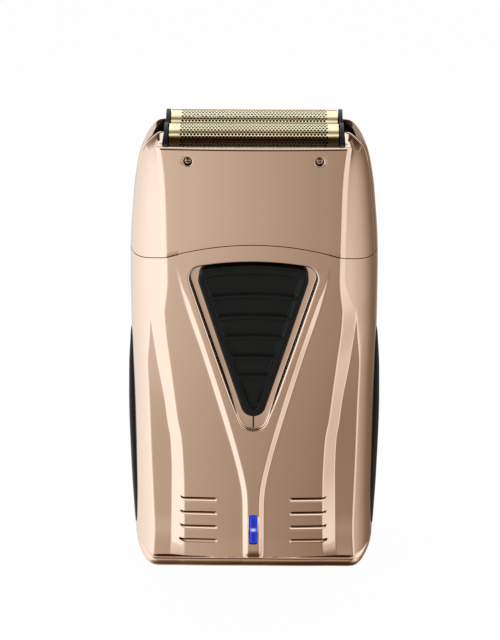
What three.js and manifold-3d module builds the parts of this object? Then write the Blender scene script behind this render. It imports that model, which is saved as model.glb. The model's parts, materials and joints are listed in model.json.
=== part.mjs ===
// A cordless foil shaver: a plated two-piece head and a plated two-piece body around a battery,
// a motor and a sliding bridge that drives two combs of blades under two perforated foils.
// Millimetres, +Z up, the front faces -Y, and the origin is under the middle of the flat base.
import * as THREE from 'three';
import { mergeVertices } from 'three/addons/utils/BufferGeometryUtils.js';
import Module from 'manifold-3d';

const wasm = await Module();
wasm.setup();

// Overall sizes
const overallHeight = 115;
const overallDepth = 34;
const shellWidth = 60;
const wall = 2.2;
const gap = 0.3;

// Heights on the housing
const baseRim = 4.4;
const bladeTip = 68;
const rimHeight = 112;
const seamApex = 88.5;
const seamDrop = 3.2;
const partingY = -3;

// Rounded base
const baseCornerRadius = 6;
const baseInset = 2.8;

// Front panel, its raised wedge and the stepped blades beside it
const panelHalf = 20;
const panelCrown = 0.6;
const ridgeRise = 0.85;
const ridgeTip = 78;
const bladeDepth = 3.6;
const shoulderAcross = 0.4;
const shoulderBack = 0.175;
const rimShoulderAcross = 0.62;
const rimShoulderBack = 0.11;
const widestY = 2;

// Thumb switch
const padProud = 0.3;
const padTop = 83.4;
const padTipZ = 45;
const padTipRadius = 3;
const padCornerRadius = 2;
const padSlope = 0.31;
const padBow = 0.9;
const padThickness = 2.45;
const padRim = 1.9;
const padPocketDepth = 0.5;
const padRib = 1.1;
const padRibSag = 2.4;
const padRibRise = 3;
const padRows = [75.8, 70.6, 65.5, 60.3, 55.3];
const switchTravel = 3.1;
const recessTop = 84.5;
const recessTipZ = 41.1;
const recessTipRadius = 3.5;
const recessCornerRadius = 3;
const recessSlope = 0.32;
const recessBow = 1.2;
const recessDepth = 2.9;
const floorThickness = 1.2;
const backingRim = 1.6;
const floorGrooveHalf = 0.2;
const floorGrooveDepth = 0.5;
const stemHalf = 1.5;
const stemZ = 56;
const stemHeight = 4;
const stemReach = 0.9;
const sliderHalfWidth = 4;
const sliderHalfHeight = 6;
const sliderThickness = 1.2;
const leverHalfWidth = 1;
const leverHalfHeight = 0.8;
const leverReach = 1;
const switchHalfWidth = 3.5;
const switchBelow = 5.5;
const switchAbove = 3;

// Grooves, indicator and small screws
const grooveCount = 4;
const groovePitch = 4;
const grooveTopZ = 21.6;
const grooveHeight = 1.2;
const grooveDepth = 1.4;
const grooveLip = 0.9;
const grooveInner = 8.5;
const grooveOuter = 17.7;
const lensWidth = 1.9;
const lensHeight = 7.9;
const lensZ = 13.2;
const lensRecess = 0.3;
const ledHalfWidth = 1;
const ledHalfHeight = 0.8;
const ledDepth = 1;
const screwX = 15.1;
const screwZ = 108.1;
const screwHeadRadius = 0.95;
const screwHeadDepth = 0.7;
const screwShankRadius = 0.5;
const bodyScrewX = 14;
const bodyScrewLowZ = 15;
const bodyScrewHighZ = 76;
const bodyScrewHeadRadius = 2;
const bodyScrewHeadDepth = 1.6;
const bodyScrewShankRadius = 1;
const bodyScrewBite = 6;
const bodyScrewBore = 8;
const screwSink = 0.05;
const slotReach = 0.75;
const slotHalf = 0.17;
const pillarRadius = 2.4;
const bossRim = 1.6;
const bossSeat = 1.2;

// Grips
const gripBottom = 5.5;
const gripTop = 60;
const gripFront = -1.8;
const gripRear = 9.5;
const gripProud = 1.1;
const gripSeat = 1.1;
const gripCorner = 4;
const gripLean = 1.5;
const gripMiddleY = 3.85;
const gripSwellReach = 6.2;
const gripEdgeRise = 0.12;
const gripSeatReach = 4.5;

// Foil cassette
const foilPitch = 10;
const foilRadius = 4.7;
const foilSheet = 0.3;
const foilHalfLength = 19.5;
const foilSkirtBottom = 104.3;
const endCapThickness = 0.9;
const endCapLip = 0.3;
const railThickness = 0.9;
const cassetteBottom = 102.2;
const cassetteLip = 1.8;
const capStep = 0.15;
const holeRows = 6;
const holeWidth = 1.5;
const holeLength = 2.7;
const holePitch = 4;
const holeFieldHalf = 16.6;
const lugHalfWidth = 1.8;
const lugRise = 1.8;
const railRise = 1.3;
const valleyAngle = 0.5;
const notchWidth = 2.5;
const notchFront = -1;
const notchRear = 10.8;
const notchFloor = 105.6;
const wellFloor = 98;
const rearTopFront = 111.4;
const rearTopBack = 109.6;
const frontTop = 111.2;

// Cutters and their drive
const cutterHalfLength = 17;
const carrierHalfLength = 16;
const bladePitch = 3.4;
const bladeSlot = 2;
const cutterWall = 1.3;
const cutterFoot = 1.8;
const cutterPlunge = 0.8;
const carrierFlange = 1.5;
const carrierCrown = 0.6;
const boreDepth = 1.1;
const stroke = 1;
const postRadius = 1.3;
const seatRadius = 2.7;
const seatThickness = 0.6;
const springWire = 0.2;
const springTurns = 3;
const deckThickness = 1.6;
const sealThickness = 0.8;
const sealHalfLength = 11;
const sealRim = 2.8;
const deckSlotClearance = 0.4;
const bridgeThickness = 2.6;
const bridgeHalfLength = 13;
const bridgeSideStep = 1.2;
const earX = 10.2;
const earHalfLength = 2.8;
const earHalfHeight = 1.9;
const earHalfWidth = 2.1;
const windowX = 7.6;
const windowHalfWidth = 1.6;
const windowHalfLength = 5.2;
const slotClearance = 0.15;
const rodRadius = 0.8;
const rodY = 8.8;
const rodSink = 0.5;
const rodLugThickness = 2.2;
const rodLugHalfWidth = 1.7;

// Motor and eccentric
const motorRadius = 9;
const motorBottom = 62.5;
const motorLength = 26;
const motorCapThickness = 1.4;
const motorCapStep = 0.6;
const motorHubRadius = 3;
const motorHubHeight = 1.4;
const brushHalfWidth = 1.4;
const brushDepth = 2.6;
const shaftRadius = 1;
const shaftDepth = 7.6;
const camRadius = 3.2;
const camThickness = 2.6;
const camLift = 1.6;
const camRoof = 0.4;
const pinRadius = 1.2;
const eccentricity = 1;

// Battery, board and socket
const batteryRadius = 7;
const batteryLength = 48.6;
const batteryBottom = 10;
const batteryY = 1.8;
const batteryCrimp = 0.5;
const terminalRadius = 2.8;
const terminalHeight = 1.1;
const tabThickness = 0.4;
const tabHalfWidth = 2;
const boardThickness = 1;
const boardHalfWidth = 10.5;
const boardY = -7.7;
const chassisHalfWidth = 15.5;
const chassisPlate = 2;
const chassisRear = 11.5;
const chassisFootZ = 12;
const chassisFootStep = 3;
const shelfHalf = 8;
const topPlateHalf = 11.5;
const cradleWall = 2.2;
const cradleHeight = 2.4;
const cradleFront = 1;
const batteryCradles = [18, 46];
const boardArms = [30, 52];
const armHeight = 3;
const armWidth = 3;
const socketRadius = 2.3;
const socketBore = 1.8;
const socketPinRadius = 0.65;
const socketDepth = 6;
const socketMouth = 0.4;
const socketFlange = 1.2;
const socketChamfer = 0.15;
const socketRoof = 1;
const socketPinStep = 0.8;
const socketY = 0.9;

// Shell colours follow plated plastic, the rest follow the moulded and metal pieces
const COLOURS = {
  plating: [0xd9a889, 0.12, 1],
  darkPlastic: [0x18191a, 0.5, 0],
  rubber: [0x222423, 0.75, 0],
  gold: [0xd8b568, 0.25, 1],
  steel: [0xb9bcc0, 0.3, 1],
  brass: [0xc9a24f, 0.35, 1],
  board: [0x1f5b3a, 0.6, 0],
  natural: [0xdadcd6, 0.55, 0],
  blueLens: [0x1a2ecc, 0.2, 0],
  wrap: [0x2c6fb0, 0.45, 0],
};

const object = new THREE.Group();

function material(name) {
  const [color, roughness, metalness] = COLOURS[name];
  return new THREE.MeshStandardMaterial({ color, roughness, metalness, flatShading: true });
}

function addMesh(name, geometry, finish, place = [0, 0, 0], turn = [0, 0, 0]) {
  const mesh = new THREE.Mesh(geometry, material(finish));
  mesh.name = name;
  mesh.position.set(...place);
  mesh.rotation.set(...turn);
  object.add(mesh);
  return mesh;
}

// Joining and cutting closed geometries. Corners are set on a fine grid first, so that faces
// that are meant to share a plane do.
const grid = 4096;

function toSolid(geometry) {
  const bare = new THREE.BufferGeometry();
  const corners = geometry.attributes.position.array.map((value) => Math.round(value * grid) / grid);
  bare.setAttribute('position', new THREE.BufferAttribute(corners, 3));
  if (geometry.index) bare.setIndex(geometry.index.clone());
  const merged = mergeVertices(bare, 1e-4);
  return new wasm.Manifold(new wasm.Mesh({
    numProp: 3,
    vertProperties: new Float32Array(merged.attributes.position.array),
    triVerts: new Uint32Array(merged.index.array),
  }));
}

function toGeometry(solid) {
  const mesh = solid.getMesh();
  const geometry = new THREE.BufferGeometry();
  geometry.setAttribute('position', new THREE.BufferAttribute(new Float32Array(mesh.vertProperties), 3));
  geometry.setIndex(Array.from(mesh.triVerts));
  geometry.computeVertexNormals();
  return geometry;
}

function join(first, ...rest) {
  return toGeometry(rest.reduce((total, piece) => total.add(toSolid(piece)), toSolid(first)));
}

function cut(first, ...rest) {
  return toGeometry(rest.reduce((total, piece) => total.subtract(toSolid(piece)), toSolid(first)));
}

function common(first, ...rest) {
  return toGeometry(rest.reduce((total, piece) => total.intersect(toSolid(piece)), toSolid(first)));
}

// Simple forms
function block(x0, x1, y0, y1, z0, z1) {
  const box = new THREE.BoxGeometry(x1 - x0, y1 - y0, z1 - z0);
  return box.translate((x0 + x1) / 2, (y0 + y1) / 2, (z0 + z1) / 2);
}

function upright(radius, z0, z1, sides = 24, x = 0, y = 0) {
  const rod = new THREE.CylinderGeometry(radius, radius, z1 - z0, sides);
  return rod.rotateX(Math.PI / 2).translate(x, y, (z0 + z1) / 2);
}

function rodAlongY(radius, y0, y1, x, z, sides = 20) {
  const rod = new THREE.CylinderGeometry(radius, radius, y1 - y0, sides);
  return rod.translate(x, (y0 + y1) / 2, z);
}

function rodAlongX(radius, x0, x1, y, z, sides = 12) {
  const rod = new THREE.CylinderGeometry(radius, radius, x1 - x0, sides);
  return rod.rotateZ(Math.PI / 2).translate((x0 + x1) / 2, y, z);
}

const xAxis = new THREE.Vector3(1, 0, 0);
const yAxis = new THREE.Vector3(0, 1, 0);
const zAxis = new THREE.Vector3(0, 0, 1);

// An outline drawn in Y and Z, drawn out along X
function drawnAlongX(shape, x0, x1, curveSegments = 4) {
  const form = new THREE.ExtrudeGeometry(shape, { depth: x1 - x0, bevelEnabled: false, curveSegments });
  return form.applyMatrix4(new THREE.Matrix4().makeBasis(yAxis, zAxis, xAxis)).translate(x0, 0, 0);
}

// An outline drawn in X and Z, drawn out along Y
function drawnAlongY(shape, y0, y1, curveSegments = 4) {
  const form = new THREE.ExtrudeGeometry(shape, { depth: y1 - y0, bevelEnabled: false, curveSegments });
  const back = yAxis.clone().negate();
  return form.applyMatrix4(new THREE.Matrix4().makeBasis(xAxis, zAxis, back)).translate(0, y1, 0);
}

function drawnUp(shape, z0, z1, curveSegments = 4) {
  const form = new THREE.ExtrudeGeometry(shape, { depth: z1 - z0, bevelEnabled: false, curveSegments });
  return form.translate(0, 0, z0);
}

// A closed body through rings that all have the same number of points
function loft(rings) {
  const count = rings[0].length;
  const positions = rings.flatMap((ring) => ring.flatMap((point) => [point.x, point.y, point.z]));
  const index = [];
  for (let level = 0; level < rings.length - 1; level += 1) {
    for (let i = 0; i < count; i += 1) {
      const a = level * count + i;
      const b = level * count + (i + 1) % count;
      index.push(a, b, b + count, a, b + count, a + count);
    }
  }
  const cap = (ring) => THREE.ShapeUtils.triangulateShape(ring.map((p) => new THREE.Vector2(p.x, p.y)), []);
  const last = (rings.length - 1) * count;
  cap(rings[0]).forEach(([a, b, c]) => index.push(a, c, b));
  cap(rings[rings.length - 1]).forEach(([a, b, c]) => index.push(last + a, last + b, last + c));
  const geometry = new THREE.BufferGeometry();
  geometry.setAttribute('position', new THREE.Float32BufferAttribute(positions, 3));
  geometry.setIndex(index);
  return geometry;
}

// A smooth guide through stations of height and value, without overshoot
function guide(stations) {
  const count = stations.length;
  const heights = stations.map(([height]) => height);
  const values = stations.map(([, value]) => value);
  const slopes = values.slice(1).map((value, i) => (value - values[i]) / (heights[i + 1] - heights[i]));
  const tangents = values.map((_, i) => {
    if (i === 0) return slopes[0];
    if (i === count - 1) return slopes[count - 2];
    if (slopes[i - 1] * slopes[i] <= 0) return 0;
    return (2 * slopes[i - 1] * slopes[i]) / (slopes[i - 1] + slopes[i]);
  });
  return (height) => {
    if (height <= heights[0]) return values[0];
    if (height >= heights[count - 1]) return values[count - 1];
    const i = heights.findIndex((upper) => upper > height) - 1;
    const span = heights[i + 1] - heights[i];
    const t = (height - heights[i]) / span;
    const ease = t * t * (3 - 2 * t);
    const start = t * (1 - t) * (1 - t) * span * tangents[i];
    const end = t * t * (t - 1) * span * tangents[i + 1];
    return values[i] * (1 - ease) + values[i + 1] * ease + start + end;
  };
}

// Guides of the housing: distances from the overall width and depth, by height
const frontFace = -overallDepth / 2 + padProud + ridgeRise;
const rearFace = overallDepth / 2;
const sideInset = guide([
  [baseCornerRadius, 0.2], [37, 0], [61.5, 0], [75, 0.1], [82.5, 0.3], [95, 1.35],
  [103, 2.4], [107, 3.6], [108.7, 4.6], [110.3, 6.2], [111.4, 7.8], [rimHeight, 8.7],
]);
const frontDip = guide([
  [baseRim, 1.85], [12, 0.85], [30, 0.2], [55, 0], [75, 0.35], [seamApex, 0.95],
  [100, 1.95], [106, 2.65], [rimHeight, 3.35],
]);
const rearDip = guide([
  [baseRim, 2.6], [20, 1.5], [60, 0], [85, 1.5], [100, 2.9], [110, 4.5], [rimHeight, 4.7],
]);
const creaseInset = guide([
  [baseRim, 2.8], [25, 3], [33.3, 2.8], [39, 2.45], [43.4, 1.7], [48.7, 1.15], [58.5, 0.1],
  [66.5, -0.8], [71.5, -1.05], [76, -0.5], [80, -0.1], [92, -0.3], [105, -0.1], [rimHeight, -0.6],
]);
const bladeFootInset = guide([
  [baseRim, 9.2], [10, 9.6], [20, 9.9], [30, 10.1], [36.6, 9.95], [41.7, 9.3], [47.2, 8.75],
  [57, 7.2], [bladeTip - 1.5, 5.9],
]);
const bladeOuterInset = guide([
  [baseRim, 5.5], [12, 5.45], [21.7, 5.15], [31.6, 4.95], [47, 4.75], [57, 4.55], [60, 4.65],
  [bladeTip - 1.5, 5.15],
]);
const ridgeTopHalf = guide([
  [baseRim, 1.35], [21, 1.35], [26.5, 1.6], [31, 2.5], [37, 4.1], [44, 5.9], [62, 10.5],
  [73, 13.2], [ridgeTip, 16.4],
]);
const ridgeFootHalf = guide([
  [baseRim, 2.8], [21, 2.85], [26.5, 3], [31, 4.2], [37, 5.6], [44, 7.4], [62, 12.3],
  [73, 15.3], [ridgeTip, 16.9],
]);
const ridgeFade = guide([[baseRim + 0.4, 0.5], [6.5, 1], [60, 1], [70, 0.85], [75, 0.45], [ridgeTip, 0.02]]);
const rearSquareness = guide([[baseRim, 2.8], [84, 3], [101, 4.5], [110, 9]]);
const padDip = guide([[40, 0.25], [50, 0], [60, 0.1], [70, 0.5], [80, 1.1], [86, 1.6]]);

const sideAt = (z) => shellWidth / 2 - sideInset(z);
const creaseAt = (z) => panelHalf - creaseInset(z);
const panelY = (x, z) => frontFace + frontDip(z) + panelCrown * (x / panelHalf) ** 2;
const rearY = (z) => rearFace - rearDip(z);
const seamZ = (x) => seamApex - seamDrop * (x / panelHalf) ** 2;
const padFrontY = (z) => -overallDepth / 2 + padDip(z);

// How far an edge rounded by a quarter ellipse has drawn in at a height below its reach
function drawIn(z, reach, inset) {
  if (z >= reach) return 0;
  return inset * (1 - Math.sqrt(1 - ((reach - z) / reach) ** 2));
}

// The rear half of a section: a squared ellipse from the widest point to the middle of the back
function rearArc(side, rear, z, steps) {
  const power = 2 / rearSquareness(z);
  return Array.from({ length: steps }, (_, i) => {
    const angle = ((i + 1) / steps) * Math.PI / 2;
    const across = i === steps - 1 ? 0 : side * Math.cos(angle) ** power;
    return [across, widestY + (rear - widestY) * Math.sin(angle) ** power];
  });
}

// Right half of the outer section at a height, from the middle of the front to the middle of the back
function halfSection(z) {
  const z1 = Math.max(z, baseRim);
  const side = sideAt(Math.max(z, baseCornerRadius));
  const crease = creaseAt(z1);
  const creaseY = panelY(crease, z1);
  const bladed = z > baseRim && z < bladeTip;
  const rise = z > baseRim && z < ridgeTip ? ridgeRise * ridgeFade(z) : 0;
  const across = z > baseRim ? shoulderAcross : rimShoulderAcross;
  const back = z > baseRim ? shoulderBack : rimShoulderBack;
  const shoulder = bladed
    ? [shellWidth / 2 - bladeOuterInset(z), panelY(0, z) + bladeDepth]
    : [crease + across * (side - crease), creaseY + back * (widestY - creaseY)];
  const foot = bladed
    ? [shellWidth / 2 - bladeFootInset(z), shoulder[1]]
    : [crease + 0.85 * (shoulder[0] - crease), creaseY + 0.8 * (shoulder[1] - creaseY)];
  const bend = [shoulder[0] + 0.8 * (side - shoulder[0]), shoulder[1] + 0.3 * (widestY - shoulder[1])];
  const curve = new THREE.QuadraticBezierCurve(
    new THREE.Vector2(...shoulder), new THREE.Vector2(...bend), new THREE.Vector2(side, widestY),
  );
  const top = ridgeTopHalf(z1);
  const toe = ridgeFootHalf(z1);
  const middle = (toe + crease) / 2;
  const half = [
    [0, panelY(0, z1) - rise],
    [top, panelY(top, z1) - rise],
    [toe, panelY(toe, z1)],
    [middle, panelY(middle, z1)],
    [crease, creaseY],
    foot,
    ...curve.getPoints(3).map((point) => [point.x, point.y]),
    ...rearArc(side, rearY(z1), z, 6),
  ];
  const acrossInset = drawIn(z, baseCornerRadius, baseCornerRadius) / side ** 2;
  const depthShare = 1 - drawIn(z, baseRim, baseInset) / Math.abs(panelY(0, baseRim));
  return half.map(([x, y]) => [x - acrossInset * x * x, y * depthShare]);
}

// Right half of the hollow inside the housing
function halfCavity(z) {
  const outer = Math.min(z + wall, rimHeight);
  const sideHere = sideAt(Math.max(z, baseCornerRadius));
  const side = Math.min(sideHere, sideAt(Math.max(outer, baseCornerRadius))) - wall;
  const front = panelY(0, Math.max(outer, baseRim)) + wall;
  const crease = Math.min(creaseAt(z), side + wall - 1) - wall;
  const half = [
    [0, front],
    [crease - 1, front + panelCrown],
    [crease + 1.2, front + bladeDepth],
    [crease + 0.55 * (side - crease) + 0.8, front + bladeDepth + 1],
    [side - 0.5, partingY],
    [side, widestY],
    ...rearArc(side, rearY(Math.max(outer, baseRim)) - wall, z, 4),
  ];
  const acrossInset = drawIn(z - 1, baseCornerRadius, baseCornerRadius) / side ** 2;
  return half.map(([x, y]) => [x - acrossInset * x * x, y]);
}

function ring(half, z) {
  const right = half.map(([x, y]) => new THREE.Vector3(x, y, z));
  const left = half.slice(1, -1).reverse().map(([x, y]) => new THREE.Vector3(-x, y, z));
  return [...right, ...left];
}

function housingBody() {
  const base = [0, 0.08, 0.27, 0.6, 1].map((share) => share * baseRim);
  const stem = [baseRim + 0.4, 10, 20, 26.5, 32, 38, 45, 57, bladeTip - 1.5, bladeTip];
  const upper = [72, ridgeTip, 84, 94, 101, 105.5, 108.2, 110, 111.2, rimHeight];
  return loft([...base, ...stem, ...upper].map((z) => ring(halfSection(z), z)));
}

function housingHollow() {
  const levels = [wall, wall + 2, 9, 20, 32, 45, 57, bladeTip, 84, 96, 105.6];
  return loft(levels.map((z) => ring(halfCavity(z), z)));
}

// Everything behind the pad's front, moved back by an offset
function behindPad(offset) {
  const outline = new THREE.Shape();
  const levels = [30, 42, 50, 60, 70, 80, 95];
  outline.moveTo(0, levels[0]);
  outline.lineTo(0, levels[levels.length - 1]);
  levels.slice().reverse().forEach((z) => outline.lineTo(padFrontY(z) + offset, z));
  return drawnAlongX(outline, -panelHalf, panelHalf);
}

// A wedge with a bowed top and a round tip: the outline of the thumb switch and of its recess
function wedge({ top, tipZ, tipRadius, cornerRadius, slope, bow }) {
  const reach = Math.hypot(1, slope);
  const tilt = Math.atan(slope);
  const tipY = tipZ + tipRadius;
  const cornerZ = top - bow - cornerRadius;
  const cornerX = (tipRadius - cornerRadius) * reach + slope * (cornerZ - tipY);
  const lift = Math.PI / 2 - Math.atan((2 * bow) / cornerX);
  const endX = cornerX + cornerRadius * Math.cos(lift);
  const endZ = cornerZ + cornerRadius * Math.sin(lift);
  const outline = new THREE.Shape();
  outline.absarc(0, tipY, tipRadius, Math.PI + tilt, 2 * Math.PI - tilt, false);
  outline.absarc(cornerX, cornerZ, cornerRadius, -tilt, lift, false);
  outline.quadraticCurveTo(0, 2 * top - endZ, -endX, endZ);
  outline.absarc(-cornerX, cornerZ, cornerRadius, Math.PI - lift, Math.PI + tilt, false);
  outline.closePath();
  return outline;
}

const recessWedge = {
  top: recessTop, tipZ: recessTipZ, tipRadius: recessTipRadius,
  cornerRadius: recessCornerRadius, slope: recessSlope, bow: recessBow,
};
const padWedge = {
  top: padTop, tipZ: padTipZ, tipRadius: padTipRadius,
  cornerRadius: padCornerRadius, slope: padSlope, bow: padBow,
};

function grown(shape, by) {
  return {
    ...shape, top: shape.top + by, tipZ: shape.tipZ - by,
    tipRadius: shape.tipRadius + by, cornerRadius: shape.cornerRadius + by,
  };
}

// Depths inside the front, from the pad back to the circuit board
const deep = -overallDepth;
const wide = shellWidth;
const margin = 5;
const floorOffset = recessDepth;
const floorBackOffset = recessDepth + floorThickness;
const stemFrontY = padFrontY(stemZ) + padThickness - stemReach;
const sliderFrontY = padFrontY(stemZ) + floorBackOffset + 1.5 * gap;
const sliderBackY = sliderFrontY + sliderThickness;
const boardFrontY = boardY - boardThickness;
const switchFrontY = sliderBackY + gap;

// The slot that the switch stem slides in
function stemSlot() {
  const bottom = stemZ - stemHeight / 2 - switchTravel - gap;
  const top = stemZ + stemHeight / 2 + gap;
  return block(-stemHalf - gap, stemHalf + gap, deep, 0, bottom, top);
}

function stadium(halfWidth, halfHeight, z) {
  const outline = new THREE.Shape();
  outline.absarc(0, z + halfHeight - halfWidth, halfWidth, 0, Math.PI, false);
  outline.absarc(0, z - halfHeight + halfWidth, halfWidth, Math.PI, 2 * Math.PI, false);
  outline.closePath();
  return outline;
}

// One groove of the lower front, with a sloped lower lip
function groove(x0, x1, z) {
  const frontY = panelY((x0 + x1) / 2, z);
  const outside = frontY - grooveDepth;
  const top = z + grooveHeight / 2;
  const bottom = z - grooveHeight / 2;
  const outline = new THREE.Shape();
  outline.moveTo(outside, top);
  outline.lineTo(outside, bottom - grooveLip);
  outline.lineTo(frontY + grooveDepth, bottom);
  outline.lineTo(frontY + grooveDepth, top);
  return drawnAlongX(outline, x0, x1);
}

function grooves() {
  return Array.from({ length: grooveCount }, (_, i) => grooveTopZ - i * groovePitch).flatMap((z) => [
    groove(grooveInner, grooveOuter, z),
    groove(-grooveOuter, -grooveInner, z),
  ]);
}

// Everything under or over the curved seam between head and body
function seamSide(above) {
  const steps = 14;
  const reach = shellWidth / 2 + gap;
  const outline = new THREE.Shape();
  const shift = above ? gap / 2 : -gap / 2;
  const far = above ? overallHeight + margin : -margin;
  outline.moveTo(-reach, far);
  for (let i = 0; i <= steps; i += 1) {
    const x = (2 * i / steps - 1) * reach;
    outline.lineTo(x, seamZ(x) + shift);
  }
  outline.lineTo(reach, far);
  return drawnAlongY(outline, deep, -deep);
}

const frontSide = block(-wide, wide, -wide, partingY - gap / 2, -margin, overallHeight + margin);
const rearSide = block(-wide, wide, partingY + gap / 2, wide, -margin, overallHeight + margin);

// Foil cassette places
const foilY = foilPitch / 2;
const foilAxisZ = overallHeight - endCapLip - foilRadius;
const foilOuterY = foilY + foilRadius;
const railInnerY = foilOuterY + gap;
const railOuterY = railInnerY + railThickness;
const capOuterY = railOuterY + capStep;
const endCapInner = foilHalfLength + gap;
const endCapOuter = endCapInner + endCapThickness;
const wellHalfX = endCapOuter + gap;
const wellHalfY = capOuterY + gap;
const railTop = foilAxisZ + railRise;

// Finger notch at each end of the cassette, a wedge in plan that opens forwards
function fingerNotch(side) {
  const outline = new THREE.Shape();
  outline.moveTo(side * (wellHalfX - gap), notchFront);
  outline.lineTo(side * (wellHalfX + notchWidth), notchFront);
  outline.lineTo(side * (wellHalfX - gap), notchRear);
  outline.closePath();
  return drawnUp(outline, notchFloor, overallHeight + margin);
}

// The rear cover's top edge falls away to the back
function rearTopCut() {
  const outline = new THREE.Shape();
  outline.moveTo(partingY, rearTopFront);
  outline.lineTo(rearFace, rearTopBack);
  outline.lineTo(rearFace, overallHeight + margin);
  outline.lineTo(partingY, overallHeight + margin);
  outline.closePath();
  return drawnAlongX(outline, -wide, wide);
}

const outerBody = housingBody();
const shell = cut(outerBody, housingHollow());
const well = block(-wellHalfX, wellHalfX, -wellHalfY, wellHalfY, wellFloor, overallHeight + margin);

// Screw seats through the head covers, front and rear
const frontScrewY = panelY(screwX, screwZ) + screwSink;
const rearScrewY = rearY(screwZ) - screwSink;
const lugInnerY = railInnerY - 0.02;

function headScrewHoles(side) {
  const faceY = side < 0 ? frontScrewY : rearScrewY;
  const seatY = faceY - side * (screwHeadDepth + gap);
  const outside = side * wide;
  return [-screwX, screwX].flatMap((x) => [
    rodAlongY(screwHeadRadius + gap, Math.min(seatY, outside), Math.max(seatY, outside), x, screwZ, 14),
    rodAlongY(screwShankRadius + gap, Math.min(seatY, 0), Math.max(seatY, 0), x, screwZ, 8),
  ]);
}

function headFrontCover() {
  const cover = common(shell, seamSide(true), frontSide);
  const rimCut = block(-wellHalfX - gap, wellHalfX + gap, deep, -railInnerY, frontTop, overallHeight + margin);
  return cut(cover, well, rimCut, ...headScrewHoles(-1));
}

function headRearCover() {
  const cover = common(shell, seamSide(true), rearSide);
  return cut(cover, well, rearTopCut(), fingerNotch(1), fingerNotch(-1), ...headScrewHoles(1));
}

// Pockets that the grips sit in
function gripOutline(grow) {
  const radius = gripCorner + grow;
  const front = gripFront - grow;
  const rear = gripRear + grow;
  const low = gripBottom - grow;
  const high = gripTop + grow;
  const outline = new THREE.Shape();
  outline.moveTo(front + radius, low);
  outline.lineTo(rear - radius, low);
  outline.quadraticCurveTo(rear, low, rear, low + radius);
  outline.lineTo(rear, high - radius);
  outline.quadraticCurveTo(rear, high, rear - radius, high);
  outline.lineTo(front + radius + gripLean, high);
  outline.quadraticCurveTo(front + gripLean, high, front + gripLean, high - radius);
  outline.lineTo(front, low + radius);
  outline.quadraticCurveTo(front, low, front + radius, low);
  return outline;
}

const gripFloorX = shellWidth / 2 - wall + gripSeat;

function gripPocket(side) {
  const pocket = drawnAlongX(gripOutline(gap), gripFloorX, wide, 4);
  return side > 0 ? pocket : drawnAlongX(gripOutline(gap), -wide, -gripFloorX, 4);
}

// Pillars of the front cover that the body screws bite into
const spineFront = chassisRear - chassisPlate;
const bodyScrewPlaces = [
  [-bodyScrewX, bodyScrewLowZ], [bodyScrewX, bodyScrewLowZ],
  [-bodyScrewX, bodyScrewHighZ], [bodyScrewX, bodyScrewHighZ],
];

function bodyFrontCover() {
  const pillarFront = panelY(0, lensZ) + wall / 2;
  const pillars = bodyScrewPlaces.map(([x, z]) => (
    rodAlongY(pillarRadius, pillarFront, spineFront - gap, x, z, 12)
  ));
  const bores = bodyScrewPlaces.map(([x, z]) => (
    rodAlongY(bodyScrewShankRadius + gap, spineFront - bodyScrewBore, wide, x, z, 8)
  ));
  const lensSlot = drawnAlongY(stadium(lensWidth / 2 + gap, lensHeight / 2 + gap, lensZ), deep, 0);
  const recess = cut(drawnAlongY(wedge(recessWedge), deep, 0), behindPad(floorOffset));
  const backing = common(
    cut(drawnAlongY(wedge(grown(recessWedge, backingRim)), deep, 0), behindPad(floorBackOffset)),
    behindPad(floorOffset - floorThickness),
    common(outerBody, seamSide(false)),
  );
  const floorGroove = cut(
    block(-floorGrooveHalf, floorGrooveHalf, deep, 0, recessTipZ, padTipZ + padTipRadius),
    behindPad(floorOffset + floorGrooveDepth),
  );
  const halfShell = common(shell, seamSide(false), frontSide);
  return cut(
    join(halfShell, ...pillars, backing),
    recess, stemSlot(), floorGroove, lensSlot, gripPocket(1), gripPocket(-1), ...bores, ...grooves(),
  );
}

function bodyRearCover() {
  const bosses = bodyScrewPlaces.map(([x, z]) => (
    rodAlongY(bodyScrewHeadRadius + bossRim, chassisRear + gap, rearY(z) - wall / 2, x, z, 12)
  ));
  const heads = bodyScrewPlaces.map(([x, z]) => (
    rodAlongY(bodyScrewHeadRadius + gap, bodyScrewSeat(z), wide, x, z, 12)
  ));
  const shanks = bodyScrewPlaces.map(([x, z]) => (
    rodAlongY(bodyScrewShankRadius + gap, chassisRear, wide, x, z, 8)
  ));
  const socketHole = upright(socketRadius + gap, -wall, 2 * wall, 20, 0, socketY);
  return cut(
    join(common(shell, seamSide(false), rearSide), ...bosses),
    ...heads, ...shanks, socketHole, gripPocket(1), gripPocket(-1),
  );
}

function bodyScrewSeat(z) {
  return Math.min(chassisRear + gap + bossSeat, rearY(z) - bodyScrewHeadDepth - 2 * gap);
}

// A domed screw that points along its own -Y, with a slot in its head
function screw(headRadius, headDepth, shankRadius, shankLength) {
  const profile = [
    new THREE.Vector2(0, -shankLength),
    new THREE.Vector2(shankRadius, -shankLength + shankRadius),
    new THREE.Vector2(shankRadius, 0),
    new THREE.Vector2(headRadius, 0),
    new THREE.Vector2(headRadius, headDepth * 0.6),
    new THREE.Vector2(0, headDepth),
  ];
  const body = new THREE.LatheGeometry(profile, 10);
  const half = headRadius * slotHalf;
  const reach = headRadius * slotReach;
  return cut(body, block(-reach, reach, headDepth / 2, headDepth * 2, -half, half));
}

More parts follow.
